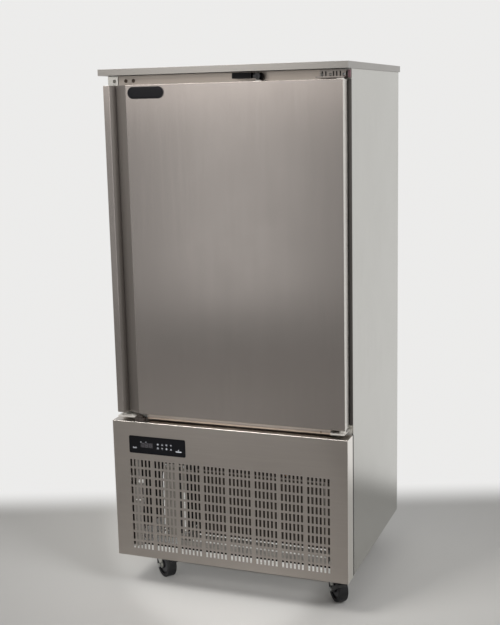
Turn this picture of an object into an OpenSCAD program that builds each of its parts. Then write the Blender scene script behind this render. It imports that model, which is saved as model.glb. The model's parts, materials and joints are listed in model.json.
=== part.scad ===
// Upright blast chiller on casters: one insulated door over a machine
// compartment with a perforated front cover.  Millimetres, +Z up, the front
// faces -Y, and the origin lies on the floor under the middle of the cabinet.

/* [Cabinet] */
// Width across the two side panels
cabinet_w = 800; // [760:1:900]
// Depth from the front frame to the back panel
cabinet_d = 607; // [590:1:760]
// Height of the cabinet's underside, which is the height of a caster
base_z = 115; // [112:1:140]
// Thickness of the outer sheet steel
sheet = 1.2; // [0.8:0.1:1.6]
// Width of the folded front post
post_w = 36.4; // [32:0.2:42]
// Depth of the fold behind the front post
post_return = 15; // [8:1:20]
// Width of the fold along the back of a side panel
rear_fold = 20; // [12:1:30]
// Gap at a seam between two sheets
seam = 0.3; // [0.2:0.1:0.6]
// Thickness of the insulated walls
wall_t = 60; // [50:1:62]

/* [Worktop] */
// Thickness of the worktop's folded edge
worktop_t = 20; // [16:1:40]
// How far the worktop stands out over the door
worktop_front = 57; // [40:1:68]
// How far the worktop stands out at each side
worktop_side = 5.5; // [2:0.5:12]
// Thickness of the worktop's sheet
worktop_sheet = 1.5; // [1:0.1:2]
// Width of the lip folded under the worktop's edge
worktop_lip = 14; // [10:1:25]

/* [Storage cavity] */
// Thickness of the insulated side walls
side_wall = 70; // [69:1:75]
// Clear height of the cavity
cavity_h = 980; // [960:1:990]
// How far the door reaches below the cavity's floor
door_lap = 39.5; // [38:0.5:44]
// Thickness of the inner liner
liner_t = 1; // [0.8:0.1:1.5]
// Radius of the liner's coved corners
liner_r = 15; // [8:1:25]
// Width of the plastic breaker strip round the opening
breaker_w = 33.3; // [28:0.1:33.5]
// Thickness of the breaker strip
breaker_t = 3; // [2:0.5:5]
// Outer radius of the drain spigot in the cavity's floor
drain_r = 14; // [10:1:20]

/* [Tray racks] */
// Number of tray levels
rack_levels = 12; // [6:1:13]
// Distance from one tray level to the next
rack_pitch = 70; // [50:1:70]
// Height of the first runner above the cavity's floor
rack_first = 60; // [40:1:80]
// Space for a rack between the trays and the cavity's side
rack_space = 65; // [62:1:70]
// Length of a runner from front to back
runner_len = 340; // [325:1:345]
// Width of a runner's shelf
runner_w = 30; // [20:1:32]
// Thickness of a runner
runner_t = 1.5; // [1:0.1:2]
// Side of a rack upright
upright_w = 15; // [10:1:18]
// Radius of the pegs that carry a rack
peg_r = 6; // [4:0.5:8]

/* [Door] */
// Height of the door
door_h = 1058; // [1045:1:1065]
// Gap between each side of the cabinet and the door's edge
door_side_gap = 10.5; // [8:0.5:14]
// Thickness of the door
door_t = 45; // [40:1:55]
// Gap between the closed door and the front frame
door_gap = 11; // [9:0.5:14]
// Gap between the door's top and the worktop
door_top_gap = 30.5; // [28:0.5:40]
// Thickness of the door's outer skin
skin_t = 1; // [0.8:0.1:1.2]
// Width of the flat lip at the finger pull
pull_lip = 22.5; // [16:0.5:28]
// Depth of the finger pull
pull_depth = 23; // [15:1:26]
// Width of the finger pull's floor
pull_floor = 10; // [8:1:16]
// Width of the ramp from the finger pull's floor to the door's face
pull_ramp = 45.5; // [30:0.5:60]
// Height of the pressed panel on the door's inner side
plug_t = 6; // [3:0.5:8]
// Width of the gasket
gasket_w = 24; // [18:1:26]

/* [Hinges] */
// Distance from the door's edge to the hinge pin
pin_inset = 14.5; // [13:0.5:18]
// Radius of a hinge pin
pin_r = 5; // [4:0.5:6]
// Radial clearance of a turning pin or shaft
run_gap = 0.05; // [0.03:0.01:0.08]
// Outer radius of a hinge bush
bush_r = 9; // [7.5:0.5:10]
// Depth of a hinge bush in the door
bush_h = 20; // [14:1:30]
// Thickness of a bush's flange
bush_flange = 2; // [1.5:0.1:2.5]
// Thickness of a hinge bracket
bracket_t = 4; // [3:0.5:5]
// How far a hinge bracket stands out from the frame
bracket_reach = 58; // [50:1:60]
// Width of the bottom hinge bracket
bracket_w = 45; // [40:1:50]
// Width of the spare bracket's plate on the other side
spare_w = 63; // [45:1:66]
// Width of the top hinge bracket
top_bracket_w = 84; // [70:1:86]
// Height of the bottom bracket's plate under the door
bracket_drop = 10.5; // [8:0.5:12]
// Gap between the door's top and the top bracket's plate
bracket_rise = 4.5; // [4:0.5:6]
// Radius of the hinge screw holes
screw_r = 4; // [3:0.5:5]

/* [Lower cover] */
// Height of the lower cover
cover_h = 469; // [460:1:500]
// How far the lower cover stands out past each side panel
cover_over = 2; // [1:0.5:6]
// How far the lower cover stands out from the front frame
cover_proj = 72; // [66:1:80]
// Depth of the cover's folded edges
cover_return = 58; // [50:1:60]
// Width of the lip at the back of the cover's sides
cover_lip = 14; // [10:1:20]
// Gap between the lower cover and the door
cover_door_gap = 24.5; // [22:0.5:32]
// Number of slot groups across
slot_groups = 8; // [4:1:8]
// Slots in a group
group_slots = 6; // [3:1:6]
// Rows of slots
slot_rows = 10; // [6:1:10]
// Width of a slot
slot_w = 6.7; // [5:0.1:8]
// Height of a slot
slot_h = 24; // [16:1:26]
// Distance from one slot to the next
slot_pitch = 13.2; // [11:0.1:13.6]
// Distance from one row to the next
row_pitch = 32; // [28:1:33]
// Distance from one group to the next
group_pitch = 87.7; // [80:0.1:88]
// Height of the lowest slots above the cover's lower edge
slot_z = 28; // [20:1:40]

// Radius of the rubber buffer on the cover's top
buffer_r = 11; // [8:0.5:14]
// Height of the rubber buffer
buffer_h = 19; // [10:1:20]

/* [Controller] */
// Width of the control fascia
fascia_w = 202; // [190:1:215]
// Height of the control fascia
fascia_h = 59; // [52:1:62]
// How far the fascia stands proud of the cover
fascia_t = 1; // [0.8:0.1:2]
// Corner radius of the fascia
fascia_r = 5; // [3:0.5:8]
// Distance from the cover's side to the fascia
fascia_x = 58; // [42:1:72]
// Height of the fascia's lower edge above the cover's lower edge
fascia_z = 363; // [350:1:380]
// Depth of the fascia's body behind the cover's face
fascia_body = 4; // [3:0.5:6]
// Width of the display window
display_w = 45; // [40:1:50]
// Height of the display window
display_h = 16.5; // [14:0.5:22]
// Distance from the fascia's left edge to the display
display_x = 41; // [30:1:46]
// Distance from the fascia's left edge to the first column of keys
key_x = 104; // [98:1:110]
// Distance between the columns of keys
key_pitch = 15.6; // [12:0.1:17]
// Distance between the rows of keys
key_row = 13; // [11:0.5:16]
// Radius of a key
key_r = 4.5; // [3.5:0.1:5]
// Travel of a key
key_travel = 0.4; // [0.3:0.1:0.5]
// Depth of the controller's housing
housing_d = 55; // [40:1:70]

/* [Casters] */
// Radius of a caster's wheel
wheel_r = 45; // [40:1:45]
// Width of a wheel's tread
wheel_w = 32; // [24:1:32]
// Width of the hub between the fork's legs
hub_w = 37.4; // [33:0.2:40]
// Distance from a caster's kingpin to its axle
trail = 38; // [30:1:40]
// Distance from the cabinet's side to a kingpin
caster_side = 88; // [86:1:110]
// Distance from the cabinet's front or back to a kingpin
caster_y = 72; // [62:1:80]
// Thickness of a fork's sheet
fork_t = 3; // [2.5:0.5:4]
// Radius of a wheel's axle
axle_r = 4; // [3:0.5:5]
// Radius of a kingpin
kingpin_r = 6; // [5:0.5:7]
// Turn of the front left caster, from straight back
turn_fl = 128; // [-180:1:180]
// Turn of the front right caster, from straight back
turn_fr = 140; // [-180:1:180]

/* [Machine compartment] */
// Height of the base frame's channel
frame_h = 12; // [10:1:20]
// Width of the base frame's channel
frame_w = 60; // [50:1:80]
// Thickness of the base frame's sheet
frame_t = 2; // [1.5:0.1:3]
// Height of the condensing unit tray's lip
tray_lip = 26; // [16:1:36]
// Distance from the front frame to the condensing unit's tray
tray_y = 15; // [15:1:30]
// Depth of the condensing unit's tray
tray_d = 500; // [480:1:515]
// Distance from the cabinet's left side to the condenser
condenser_left = 209.5; // [205:0.5:230]
// Height of the condenser
condenser_h = 234; // [225:1:280]
// Depth of the condenser's fins
condenser_d = 60; // [40:1:70]
// Distance from the tray's front to the condenser
condenser_y = 103; // [90:1:110]
// Height of the condenser's legs under its fins
condenser_leg = 8; // [5:1:12]
// Distance between the condenser's fins
condenser_pitch = 6; // [5:0.5:10]
// Distance from the cabinet's right side to the condenser
condenser_right = 113.5; // [105:0.5:130]
// Radius of the condenser's fan
cond_fan_r = 96; // [80:1:98]
// Depth of the shroud behind the condenser
shroud_d = 62; // [58:1:70]
// Radius of the compressor's shell
compressor_r = 88; // [75:1:95]
// Height of the compressor's shell
compressor_h = 215; // [180:1:240]
// Radius of the liquid receiver
receiver_r = 44; // [35:1:50]
// Height of the liquid receiver
receiver_h = 200; // [150:1:240]
// Radius of the copper pipes
pipe_r = 5; // [4:0.5:6]
// Width of the electrical box
ebox_w = 75; // [60:1:80]
// Depth of the electrical box
ebox_d = 200; // [150:1:260]
// Height of the electrical box
ebox_h = 245; // [200:1:260]
// Radius of the cable gland in the back panel
gland_r = 12; // [8:1:15]

/* [Evaporator] */
// Space between the evaporator coil and each side of the cavity
coil_side = 50; // [48:1:75]
// Height of the evaporator coil
coil_h = 800; // [740:1:820]
// Depth of the evaporator coil's fins
coil_d = 66; // [50:1:70]
// Distance between the evaporator's fins
coil_pitch = 8; // [6:0.5:12]
// Gap between the coil and the cavity's back wall
coil_back = 18; // [15:1:25]
// Height of the evaporator above the cavity's floor
coil_z = 80; // [70:1:100]
// Distance from the coil's face to the fan panel
plenum = 92; // [90:1:95]
// Radius of an evaporator fan
evap_fan_r = 118; // [100:1:120]
// Distance between the two evaporator fans
evap_fan_pitch = 400; // [380:1:420]
// Clearance between a fan's blades and its ring
fan_gap = 5; // [3:0.5:8]

/* [Lock] */
// Width of the lock's housing
lock_w = 62; // [50:1:70]
// Height of the lock's housing
lock_h = 17; // [14:1:19]
// How far the lock stands out from the header
lock_d = 30; // [26:1:34]
// Distance from the cabinet's middle to the lock's left end
lock_x = 35; // [10:1:50]
// Radius of the lock's barrel
barrel_r = 7; // [5:0.5:8]
// Radius of the boss that holds the barrel
boss_r = 11; // [10:0.5:11]

/* [Hidden] */
$fn = 48;

// Heights, from the floor up
cover_z1 = base_z + cover_h;
door_z0 = cover_z1 + cover_door_gap;
door_z1 = door_z0 + door_h;
top_z0 = door_z1 + door_top_gap;
top_z1 = top_z0 + worktop_t;
cavity_z0 = door_z0 + door_lap;
cavity_z1 = cavity_z0 + cavity_h;

// Places across and from front to back
half_w = cabinet_w / 2;
cavity_w = cabinet_w - 2 * side_wall;
tray_w = cavity_w - 2 * rack_space;
coil_w = cavity_w - 2 * coil_side;
cover_w = cabinet_w + 2 * cover_over;
caster_x = half_w - caster_side;
condenser_w = cabinet_w - condenser_left - condenser_right;
condenser_x = (condenser_left - condenser_right) / 2;
rail_x = half_w - post_w - seam;
total_d = cabinet_d + cover_proj + fascia_t;
rear_y = total_d / 2;
front_y = rear_y - cabinet_d;
cover_y = front_y - cover_proj;
back_y = rear_y - sheet;
liner_y0 = front_y + breaker_t;
liner_y1 = rear_y - wall_t;

// Door
door_hw = half_w - door_side_gap;
door_back = front_y - door_gap;
door_front = door_back - door_t;
pin_x = door_hw - pin_inset;
pin_y = door_back - door_t / 2;
touch = 0.3;

// ---------------------------------------------------------------- helpers

// A box from its low corner to its high corner
module block(low, high) {
    translate(low) cube(high - low);
}

// An outline in X and Z, drawn out along Y
module along_y(y0, y1) {
    translate([0, y1, 0]) rotate([90, 0, 0]) linear_extrude(y1 - y0)
        children();
}

// An outline in Y and Z, drawn out along X
module along_x(x0, x1) {
    translate([x0, 0, 0]) rotate([90, 0, 90]) linear_extrude(x1 - x0)
        children();
}

// An outline in X and Y, drawn out along Z
module along_z(z0, z1) {
    translate([0, 0, z0]) linear_extrude(z1 - z0) children();
}

// A round bar or bore along Y
module rod_y(x, y0, y1, z, r) {
    translate([x, y1, z]) rotate([90, 0, 0]) cylinder(r = r, h = y1 - y0);
}

// A rectangle with round corners, centred
module round_rect(w, h, r) {
    square([w - 2 * r, h], center = true);
    square([w, h - 2 * r], center = true);
    for (sx = [-1, 1], sy = [-1, 1])
        translate([sx * (w / 2 - r), sy * (h / 2 - r)]) circle(r);
}

// The same rectangle given by its edges
module round_box(x0, x1, z0, z1, r) {
    translate([(x0 + x1) / 2, (z0 + z1) / 2])
        round_rect(x1 - x0, z1 - z0, r);
}

// One or both sides of the cabinet
module both_sides() {
    children();
    mirror([1, 0, 0]) children();
}

// ---------------------------------------------------------------- cabinet

// Folded side panel without its holes, on the right
module side_blank() {
    along_z(base_z, top_z0) {
        translate([half_w - sheet, front_y])
            square([sheet, cabinet_d - sheet]);
        translate([half_w - post_w, front_y]) square([post_w, sheet]);
        translate([half_w - post_w, front_y]) square([sheet, post_return]);
        translate([half_w - rear_fold, back_y - sheet])
            square([rear_fold, sheet]);
    }
}

// Places of the hinge screws: in the post, and two in the rail
post_screw_x = half_w - post_w * 0.62;
rail_screw_x = [rail_x - 26.6, rail_x - 53];
top_screw_z = top_z0 - 16.3;
low_screw_z = door_z0 - 25;

module side_panel() {
    difference() {
        side_blank();
        for (z = [top_screw_z, low_screw_z])
            rod_y(post_screw_x, front_y - 1, front_y + sheet + 1, z, screw_r);
    }
}

module side_panel_left() {
    color("lightgrey") mirror([1, 0, 0]) side_panel();
}

module side_panel_right() {
    color("lightgrey") side_panel();
}

vent_rows = 12;
vent_cols = 5;
vent_len = 90;
vent_h = 6;
vent_step_x = 120;
vent_step_z = 18;
vent_rise = 130;
gland_x = -half_w + 90;
gland_z = base_z + 70;

// Back panel with the machine compartment's vents
module back_panel() {
    color("silver") along_y(back_y, rear_y) difference() {
        translate([-half_w, base_z]) square([cabinet_w, top_z0 - base_z]);
        for (c = [0:vent_cols - 1], r = [0:vent_rows - 1])
            translate([(c - (vent_cols - 1) / 2) * vent_step_x,
                       base_z + vent_rise + r * vent_step_z])
                round_rect(vent_len, vent_h, vent_h / 2 - 0.01);
        translate([gland_x, gland_z]) circle(gland_r + 0.3);
    }
}

// Worktop folded from one sheet, open underneath
module worktop() {
    top_w = cabinet_w + 2 * worktop_side;
    color("silver") difference() {
        block([-top_w / 2, front_y - worktop_front, top_z0],
              [top_w / 2, rear_y, top_z1]);
        block([-top_w / 2 + worktop_sheet,
               front_y - worktop_front + worktop_sheet,
               top_z0 + worktop_sheet],
              [top_w / 2 - worktop_sheet, rear_y - worktop_sheet,
               top_z1 - worktop_sheet]);
        block([-top_w / 2 + worktop_lip, front_y - worktop_front + worktop_lip,
               top_z0 - 1],
              [top_w / 2 - worktop_lip, rear_y - worktop_lip,
               top_z0 + worktop_sheet + 1]);
    }
}

header_z0 = cavity_z1 + breaker_w;
sill_z1 = cavity_z0 - breaker_w;
sill_h = 55;
sill_z0 = sill_z1 - sill_h;
floor_z = cavity_z0 - wall_t;

// Header rail without its holes: a channel, open to the back
module header_blank() {
    along_x(-rail_x, rail_x) {
        translate([front_y, header_z0]) square([sheet, top_z0 - header_z0]);
        translate([front_y, top_z0 - sheet]) square([post_return, sheet]);
        translate([front_y, header_z0]) square([post_return, sheet]);
    }
}

module header_rail() {
    color("tan") difference() {
        header_blank();
        for (s = [-1, 1], x = rail_screw_x)
            rod_y(s * x, front_y - 1, front_y + sheet + 1, top_screw_z,
                  screw_r);
    }
}

// Sill rail with the outer floor of the insulated box folded from it
module sill_blank() {
    along_x(-rail_x, rail_x) {
        translate([front_y, sill_z0]) square([sheet, sill_z1 - sill_z0]);
        translate([front_y, sill_z0]) square([post_return, sheet]);
        translate([front_y, floor_z - sheet])
            square([cabinet_d - 2 * sheet, sheet]);
    }
    both_sides() block([rail_x - 1, front_y + post_return, floor_z - sheet],
                       [half_w - sheet, back_y - sheet, floor_z]);
}
drain_y = (liner_y0 + liner_y1) / 2;

module sill_rail() {
    color("tan") difference() {
        sill_blank();
        for (s = [-1, 1], x = rail_screw_x)
            rod_y(s * x, front_y - 1, front_y + sheet + 1, low_screw_z,
                  screw_r);
        translate([0, drain_y, floor_z - sheet - 1])
            cylinder(r = drain_r + touch, h = sheet + 2);
    }
}

// One-piece liner with coved corners and a welded drain spigot
module cavity_liner() {
    inner = cavity_w / 2;
    outer = inner + liner_t;
    color("gainsboro") {
        difference() {
            along_y(liner_y0, liner_y1 + liner_t)
                round_box(-outer, outer, cavity_z0 - liner_t,
                          cavity_z1 + liner_t, liner_r + liner_t);
            along_y(liner_y0 - 1, liner_y1)
                round_box(-inner, inner, cavity_z0, cavity_z1, liner_r);
            translate([0, drain_y, cavity_z0 - 5])
                cylinder(r = drain_r - liner_t, h = 10);
        }
        translate([0, drain_y, floor_z - 30]) difference() {
            cylinder(r = drain_r, h = wall_t + 30 - liner_t);
            translate([0, 0, -1])
                cylinder(r = drain_r - liner_t, h = wall_t + 32);
        }
    }
}

breaker_rib = 10;

// Plastic strip that joins the liner to the outer sheets
module breaker_frame() {
    inner = cavity_w / 2;
    mid = (inner + rail_x) / 2;
    color("dimgray") difference() {
        union() {
            along_y(front_y, front_y + breaker_t)
                translate([-rail_x, sill_z1 + seam])
                    square([2 * rail_x, header_z0 - sill_z1 - 2 * seam]);
            along_y(front_y + breaker_t, front_y + post_return)
                translate([-mid - breaker_rib / 2, cavity_z0 - breaker_w / 2])
                    square([2 * mid + breaker_rib, cavity_h + breaker_w]);
        }
        along_y(front_y - 1, front_y + post_return + 1)
            round_box(-inner, inner, cavity_z0, cavity_z1, liner_r);
        along_y(front_y + breaker_t, front_y + post_return + 1)
            translate([-mid + breaker_rib / 2, cavity_z0 - breaker_w / 2 + 4])
                square([2 * mid - breaker_rib, cavity_h + breaker_w - 8]);
    }
}

// Foam that fills the space between the liner and the outer sheets
module insulation() {
    inner = cavity_w / 2 + liner_t;
    mid = (cavity_w / 2 + rail_x) / 2;
    color("khaki") difference() {
        block([-half_w + sheet, front_y + sheet, floor_z],
              [half_w - sheet, back_y, top_z0]);
        both_sides() side_blank();
        header_blank();
        sill_blank();
        along_y(front_y, front_y + breaker_t)
            translate([-rail_x - 1, sill_z1])
                square([2 * rail_x + 2, header_z0 - sill_z1]);
        along_y(front_y + sheet, front_y + post_return)
            translate([-mid - breaker_rib / 2, cavity_z0 - breaker_w / 2])
                square([2 * mid + breaker_rib, cavity_h + breaker_w]);
        along_y(front_y, liner_y1 + liner_t)
            round_box(-inner, inner, cavity_z0 - liner_t, cavity_z1 + liner_t,
                      liner_r);
        translate([0, drain_y, floor_z - 1])
            cylinder(r = drain_r + touch, h = wall_t + 2);
    }
    color("khaki") difference() {
        along_y(front_y + breaker_t, front_y + post_return)
            translate([-mid + breaker_rib / 2, cavity_z0 - breaker_w / 2 + 4])
                square([2 * mid - breaker_rib, cavity_h + breaker_w - 8]);
        along_y(front_y, liner_y1)
            round_box(-inner, inner, cavity_z0 - liner_t, cavity_z1 + liner_t,
                      liner_r);
    }
}

// ----------------------------------------------------- machine compartment

frame_z1 = base_z + frame_h;
frame_y0 = front_y + post_return;
frame_y1 = back_y - sheet;
gusset = 150;

module bottom_ring(inset, z0, z1) {
    along_z(z0, z1) difference() {
        translate([-half_w + sheet + inset, frame_y0 + inset])
            square([2 * (half_w - sheet - inset),
                    frame_y1 - frame_y0 - 2 * inset]);
        translate([-half_w + sheet + frame_w - inset,
                   frame_y0 + frame_w - inset])
            square([2 * (half_w - sheet - frame_w + inset),
                    frame_y1 - frame_y0 - 2 * (frame_w - inset)]);
    }
}

caster_ys = [front_y + caster_y, rear_y - caster_y];
bolt_x = 80;
bolt_y = 60;
bolt_r = 4.5;

// Channel frame that carries the cabinet, with a gusset over each caster
module base_frame() {
    color("silver") difference() {
        union() {
            difference() {
                bottom_ring(0, base_z, frame_z1);
                bottom_ring(frame_t, base_z + frame_t, frame_z1 - frame_t);
            }
            for (sx = [-1, 1], y = caster_ys)
                translate([sx * caster_x, y, base_z + frame_t / 2])
                    cube([bolt_x + 30, bolt_y + 30, frame_t], center = true);
            both_sides() for (y = [frame_y0, frame_y1 - gusset])
                block([half_w - sheet - gusset, y, base_z],
                      [half_w - sheet, y + gusset, base_z + frame_t]);
        }
        for (sx = [-1, 1], y = caster_ys, bx = [-1, 1], by = [-1, 1])
            translate([sx * caster_x + bx * bolt_x / 2, y + by * bolt_y / 2,
                       base_z - 1])
                cylinder(r = bolt_r, h = frame_h + 2);
    }
}

tray_x0 = condenser_x - condenser_w / 2 - 18;
tray_x1 = condenser_x + condenser_w / 2 + 18;
unit_y0 = front_y + tray_y;
unit_z = frame_z1 + 1.5;

// Galvanised tray of the condensing unit
module unit_tray() {
    color("gainsboro") difference() {
        block([tray_x0, unit_y0, frame_z1],
              [tray_x1, unit_y0 + tray_d, frame_z1 + tray_lip]);
        block([tray_x0 + 1.5, unit_y0 + 1.5, unit_z],
              [tray_x1 - 1.5, unit_y0 + tray_d - 1.5,
               frame_z1 + tray_lip + 1]);
    }
}

cond_y0 = unit_y0 + condenser_y;
cond_y1 = cond_y0 + condenser_d;
cond_x0 = condenser_x - condenser_w / 2;
cond_x1 = condenser_x + condenser_w / 2;
cond_z0 = unit_z + condenser_leg;
cond_z1 = cond_z0 + condenser_h;
end_t = 1.5;
bend_r = 12;
tube_r = 4.8;

// Comb of fins standing out of a core, seen from above
module fin_comb(x0, x1, y0, y1, pitch, fin) {
    depth = 8;
    count = floor((x1 - x0 - fin) / pitch);
    start = (x0 + x1 - count * pitch - fin) / 2;
    translate([x0, y0 + depth]) square([x1 - x0, y1 - y0 - 2 * depth]);
    for (i = [0:count])
        translate([start + i * pitch, y0]) square([fin, y1 - y0]);
}

// Return bend between two tubes, standing out along +X
module return_bend(x, y, z) {
    translate([x, y, z]) rotate([90, 0, 0])
        rotate([0, 0, -90]) rotate_extrude(angle = 180, $fn = 24)
            translate([bend_r, 0]) circle(tube_r);
}

// Condenser: fins between two end plates, with the return bends
module condenser_coil() {
    rows = floor((condenser_h - 30) / (4 * bend_r));
    color("dimgray") {
        along_z(cond_z0 + end_t, cond_z1 - end_t)
            fin_comb(cond_x0 + end_t, cond_x1 - end_t, cond_y0 + 4,
                     cond_y1 - 4, condenser_pitch, 0.6);
        for (x = [cond_x0, cond_x1 - end_t])
            block([x, cond_y0, unit_z], [x + end_t, cond_y1, cond_z1]);
        for (z = [cond_z0, cond_z1 - end_t])
            block([cond_x0, cond_y0, z], [cond_x1, cond_y1, z + end_t]);
        for (i = [0:rows - 1])
            return_bend(cond_x1 - 0.1, (cond_y0 + cond_y1) / 2,
                        cond_z0 + 27 + i * 4 * bend_r);
    }
}

shroud_y1 = cond_y1 + shroud_d;
cond_fan_z = cond_z0 + condenser_h / 2;
ring_wall = 1.5;

// Shroud with the fan's ring, open towards the condenser
module condenser_shroud() {
    ring_r = cond_fan_r + fan_gap;
    color("lightgrey") {
        difference() {
            block([cond_x0, cond_y1, cond_z0], [cond_x1, shroud_y1, cond_z1]);
            block([cond_x0 + sheet, cond_y1 - 1, cond_z0 + sheet],
                  [cond_x1 - sheet, shroud_y1 - sheet, cond_z1 - sheet]);
            rod_y(condenser_x, cond_y1, shroud_y1 + 1, cond_fan_z, ring_r);
        }
        difference() {
            rod_y(condenser_x, shroud_y1 - 30, shroud_y1, cond_fan_z,
                  ring_r + ring_wall);
            rod_y(condenser_x, shroud_y1 - 31, shroud_y1 + 1, cond_fan_z,
                  ring_r);
        }
    }
}

// Blades round a hub, with the bore that runs on the motor's shaft.
// The fan lies flat on Z = 0 and turns about Z.
module fan_rotor(r, hub_r, depth, blades, pitch_angle) {
    difference() {
        union() {
            cylinder(r = hub_r, h = depth, center = true);
            for (i = [0:blades - 1])
                rotate([0, 0, i * 360 / blades])
                    translate([hub_r - 4, 0, 0]) rotate([pitch_angle, 0, 0])
                        linear_extrude(1.6, center = true)
                            fan_blade(r - hub_r + 2, hub_r);
        }
        translate([0, 0, -depth]) cylinder(r = 4 + run_gap, h = 2 * depth);
    }
}

// A blade's outline: narrow at the hub, broad and round at the tip
module fan_blade(length, root) {
    intersection() {
        polygon([[0, -root * 0.35], [length, -root * 0.95],
                 [length, root * 0.8], [length * 0.5, root * 0.75],
                 [0, root * 0.35]]);
        translate([-root, 0]) circle(r = length + root - 2, $fn = 96);
    }
}

cond_fan_in = 22;
cond_fan_y = shroud_y1 - cond_fan_in;
cond_hub_r = 26;
cond_hub_h = 24;
evap_hub_r = 32;
evap_hub_h = 22;

module condenser_fan() {
    color("dimgray") translate([condenser_x, cond_fan_y, cond_fan_z])
        rotate([90, 0, 0])
            fan_rotor(cond_fan_r, cond_hub_r, cond_hub_h, 5, 28);
}

motor_r = 42;
motor_len = 70;
shaft_r = 4;

// Motor with its shaft towards -Y; its face lies at y
module motor_can(x, y, z) {
    rod_y(x, y, y + motor_len, z, motor_r);
    rod_y(x, y - 10, y, z, 16);
    rod_y(x, y - 36, y + 1, z, shaft_r);
}

coil_y1 = liner_y1 - coil_back;
coil_y0 = coil_y1 - coil_d;
coil_z0 = cavity_z0 + coil_z;
coil_z1 = coil_z0 + coil_h;
panel_y = coil_y0 - plenum;
fan_mid_z = coil_z0 + coil_h / 2;
evap_fan_zs = [fan_mid_z - evap_fan_pitch / 2, fan_mid_z + evap_fan_pitch / 2];
evap_fan_back = 16;
evap_fan_y = panel_y + evap_fan_back;
spider_back = 36;
spider_y = panel_y + spider_back;
spider_t = 3;

// Motors: one on a stand behind the condenser, two on three-armed spiders
module fan_motors() {
    motor_y = shroud_y1 + 8;
    ring_r = evap_fan_r + fan_gap;
    color("darkslategray") {
        motor_can(condenser_x, motor_y, cond_fan_z);
        block([condenser_x - 30, motor_y + 10, unit_z],
              [condenser_x + 30, motor_y + 50, unit_z + 3]);
        block([condenser_x - 25, motor_y + 25, unit_z],
              [condenser_x + 25, motor_y + 29, cond_fan_z - motor_r + 4]);
        for (z = evap_fan_zs) {
            rod_y(0, spider_y, spider_y + 48, z, motor_r - 4);
            rod_y(0, spider_y - 32, spider_y + 1, z, shaft_r);
            for (a = [90, 210, 330])
                translate([0, 0, z]) rotate([0, -a, 0]) {
                    block([motor_r - 8, spider_y, -8],
                          [ring_r + 12, spider_y + spider_t, 8]);
                    block([ring_r + 9, panel_y + sheet, -8],
                          [ring_r + 12, spider_y + spider_t, 8]);
                }
        }
    }
}

comp_off = 110;
comp_x = condenser_x + comp_off;
comp_back = 385;
comp_y = unit_y0 + comp_back;
foot_hd = 60;
foot_in = 15;
foot_side = 18;
foot_t = 3;
dome_r = 28;
dome_z = 40;
terminal_hw = 22;
terminal_h = 50;
terminal_out = 16;
mount_r = 12;
foot_h = 18;
comp_z = unit_z + foot_h;

// Hermetic compressor on its foot plate and four rubber mounts
module compressor() {
    color("black") {
        translate([comp_x, comp_y, comp_z + foot_t]) {
            rotate_extrude($fn = 64) {
                square([compressor_r, compressor_h - dome_z]);
                square([compressor_r - dome_r, compressor_h]);
                translate([compressor_r - dome_r, compressor_h - dome_z])
                    intersection() {
                        circle(dome_r);
                        square(dome_r);
                    }
            }
            translate([0, 0, compressor_h * 0.5])
                block([-terminal_hw, -compressor_r - terminal_out, 0],
                      [terminal_hw, -compressor_r / 8, terminal_h]);
        }
        difference() {
            block([comp_x - compressor_r - foot_side, comp_y - foot_hd,
                   comp_z],
                  [comp_x + compressor_r + foot_side, comp_y + foot_hd,
                   comp_z + foot_t]);
            for (sx = [-1, 1], sy = [-1, 1])
                translate([comp_x + sx * (compressor_r + 2),
                           comp_y + sy * (foot_hd - foot_in), comp_z - 1])
                    cylinder(r = mount_r - 7, h = foot_t + 2);
        }
        for (sx = [-1, 1], sy = [-1, 1])
            translate([comp_x + sx * (compressor_r + 2),
                       comp_y + sy * (foot_hd - foot_in), unit_z])
                cylinder(r = mount_r, h = foot_h);
    }
}

recv_x = condenser_x - comp_off;
recv_back = 400;
recv_y = unit_y0 + recv_back;
recv_foot = 20;
recv_neck = 30;
recv_stub = 8;
recv_inlet_z = 42;

// Upright liquid receiver with domed ends, on a foot ring
module liquid_receiver() {
    color("black") translate([recv_x, recv_y, unit_z]) {
        cylinder(r = receiver_r - 12, h = recv_foot);
        translate([0, 0, recv_foot - 2])
            cylinder(r = receiver_r, h = receiver_h - recv_foot + 2);
        translate([0, 0, receiver_h - 0.5])
            cylinder(r = receiver_r - 14, h = 10);
        translate([0, 0, receiver_h]) cylinder(r = 9, h = recv_neck);
        rod_y(0, -receiver_r - recv_stub, 0, recv_inlet_z, pipe_r + 2);
    }
}

// A copper pipe: each step is a straight length, a roll and a bend
module copper_pipe(steps, i = 0) {
    bend = 22;
    angle = steps[i][2];
    cylinder(r = pipe_r, h = steps[i][0], $fn = 24);
    if (i < len(steps) - 1)
        translate([0, 0, steps[i][0]]) rotate([0, 0, steps[i][1]]) {
            translate([bend, 0, 0]) rotate([90, 0, 180])
                rotate_extrude(angle = angle, $fn = 24)
                    translate([bend, 0]) circle(pipe_r);
            translate([bend - bend * cos(angle), 0, bend * sin(angle)])
                rotate([0, angle, 0]) copper_pipe(steps, i + 1);
        }
}

drier_r = 20;

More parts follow.
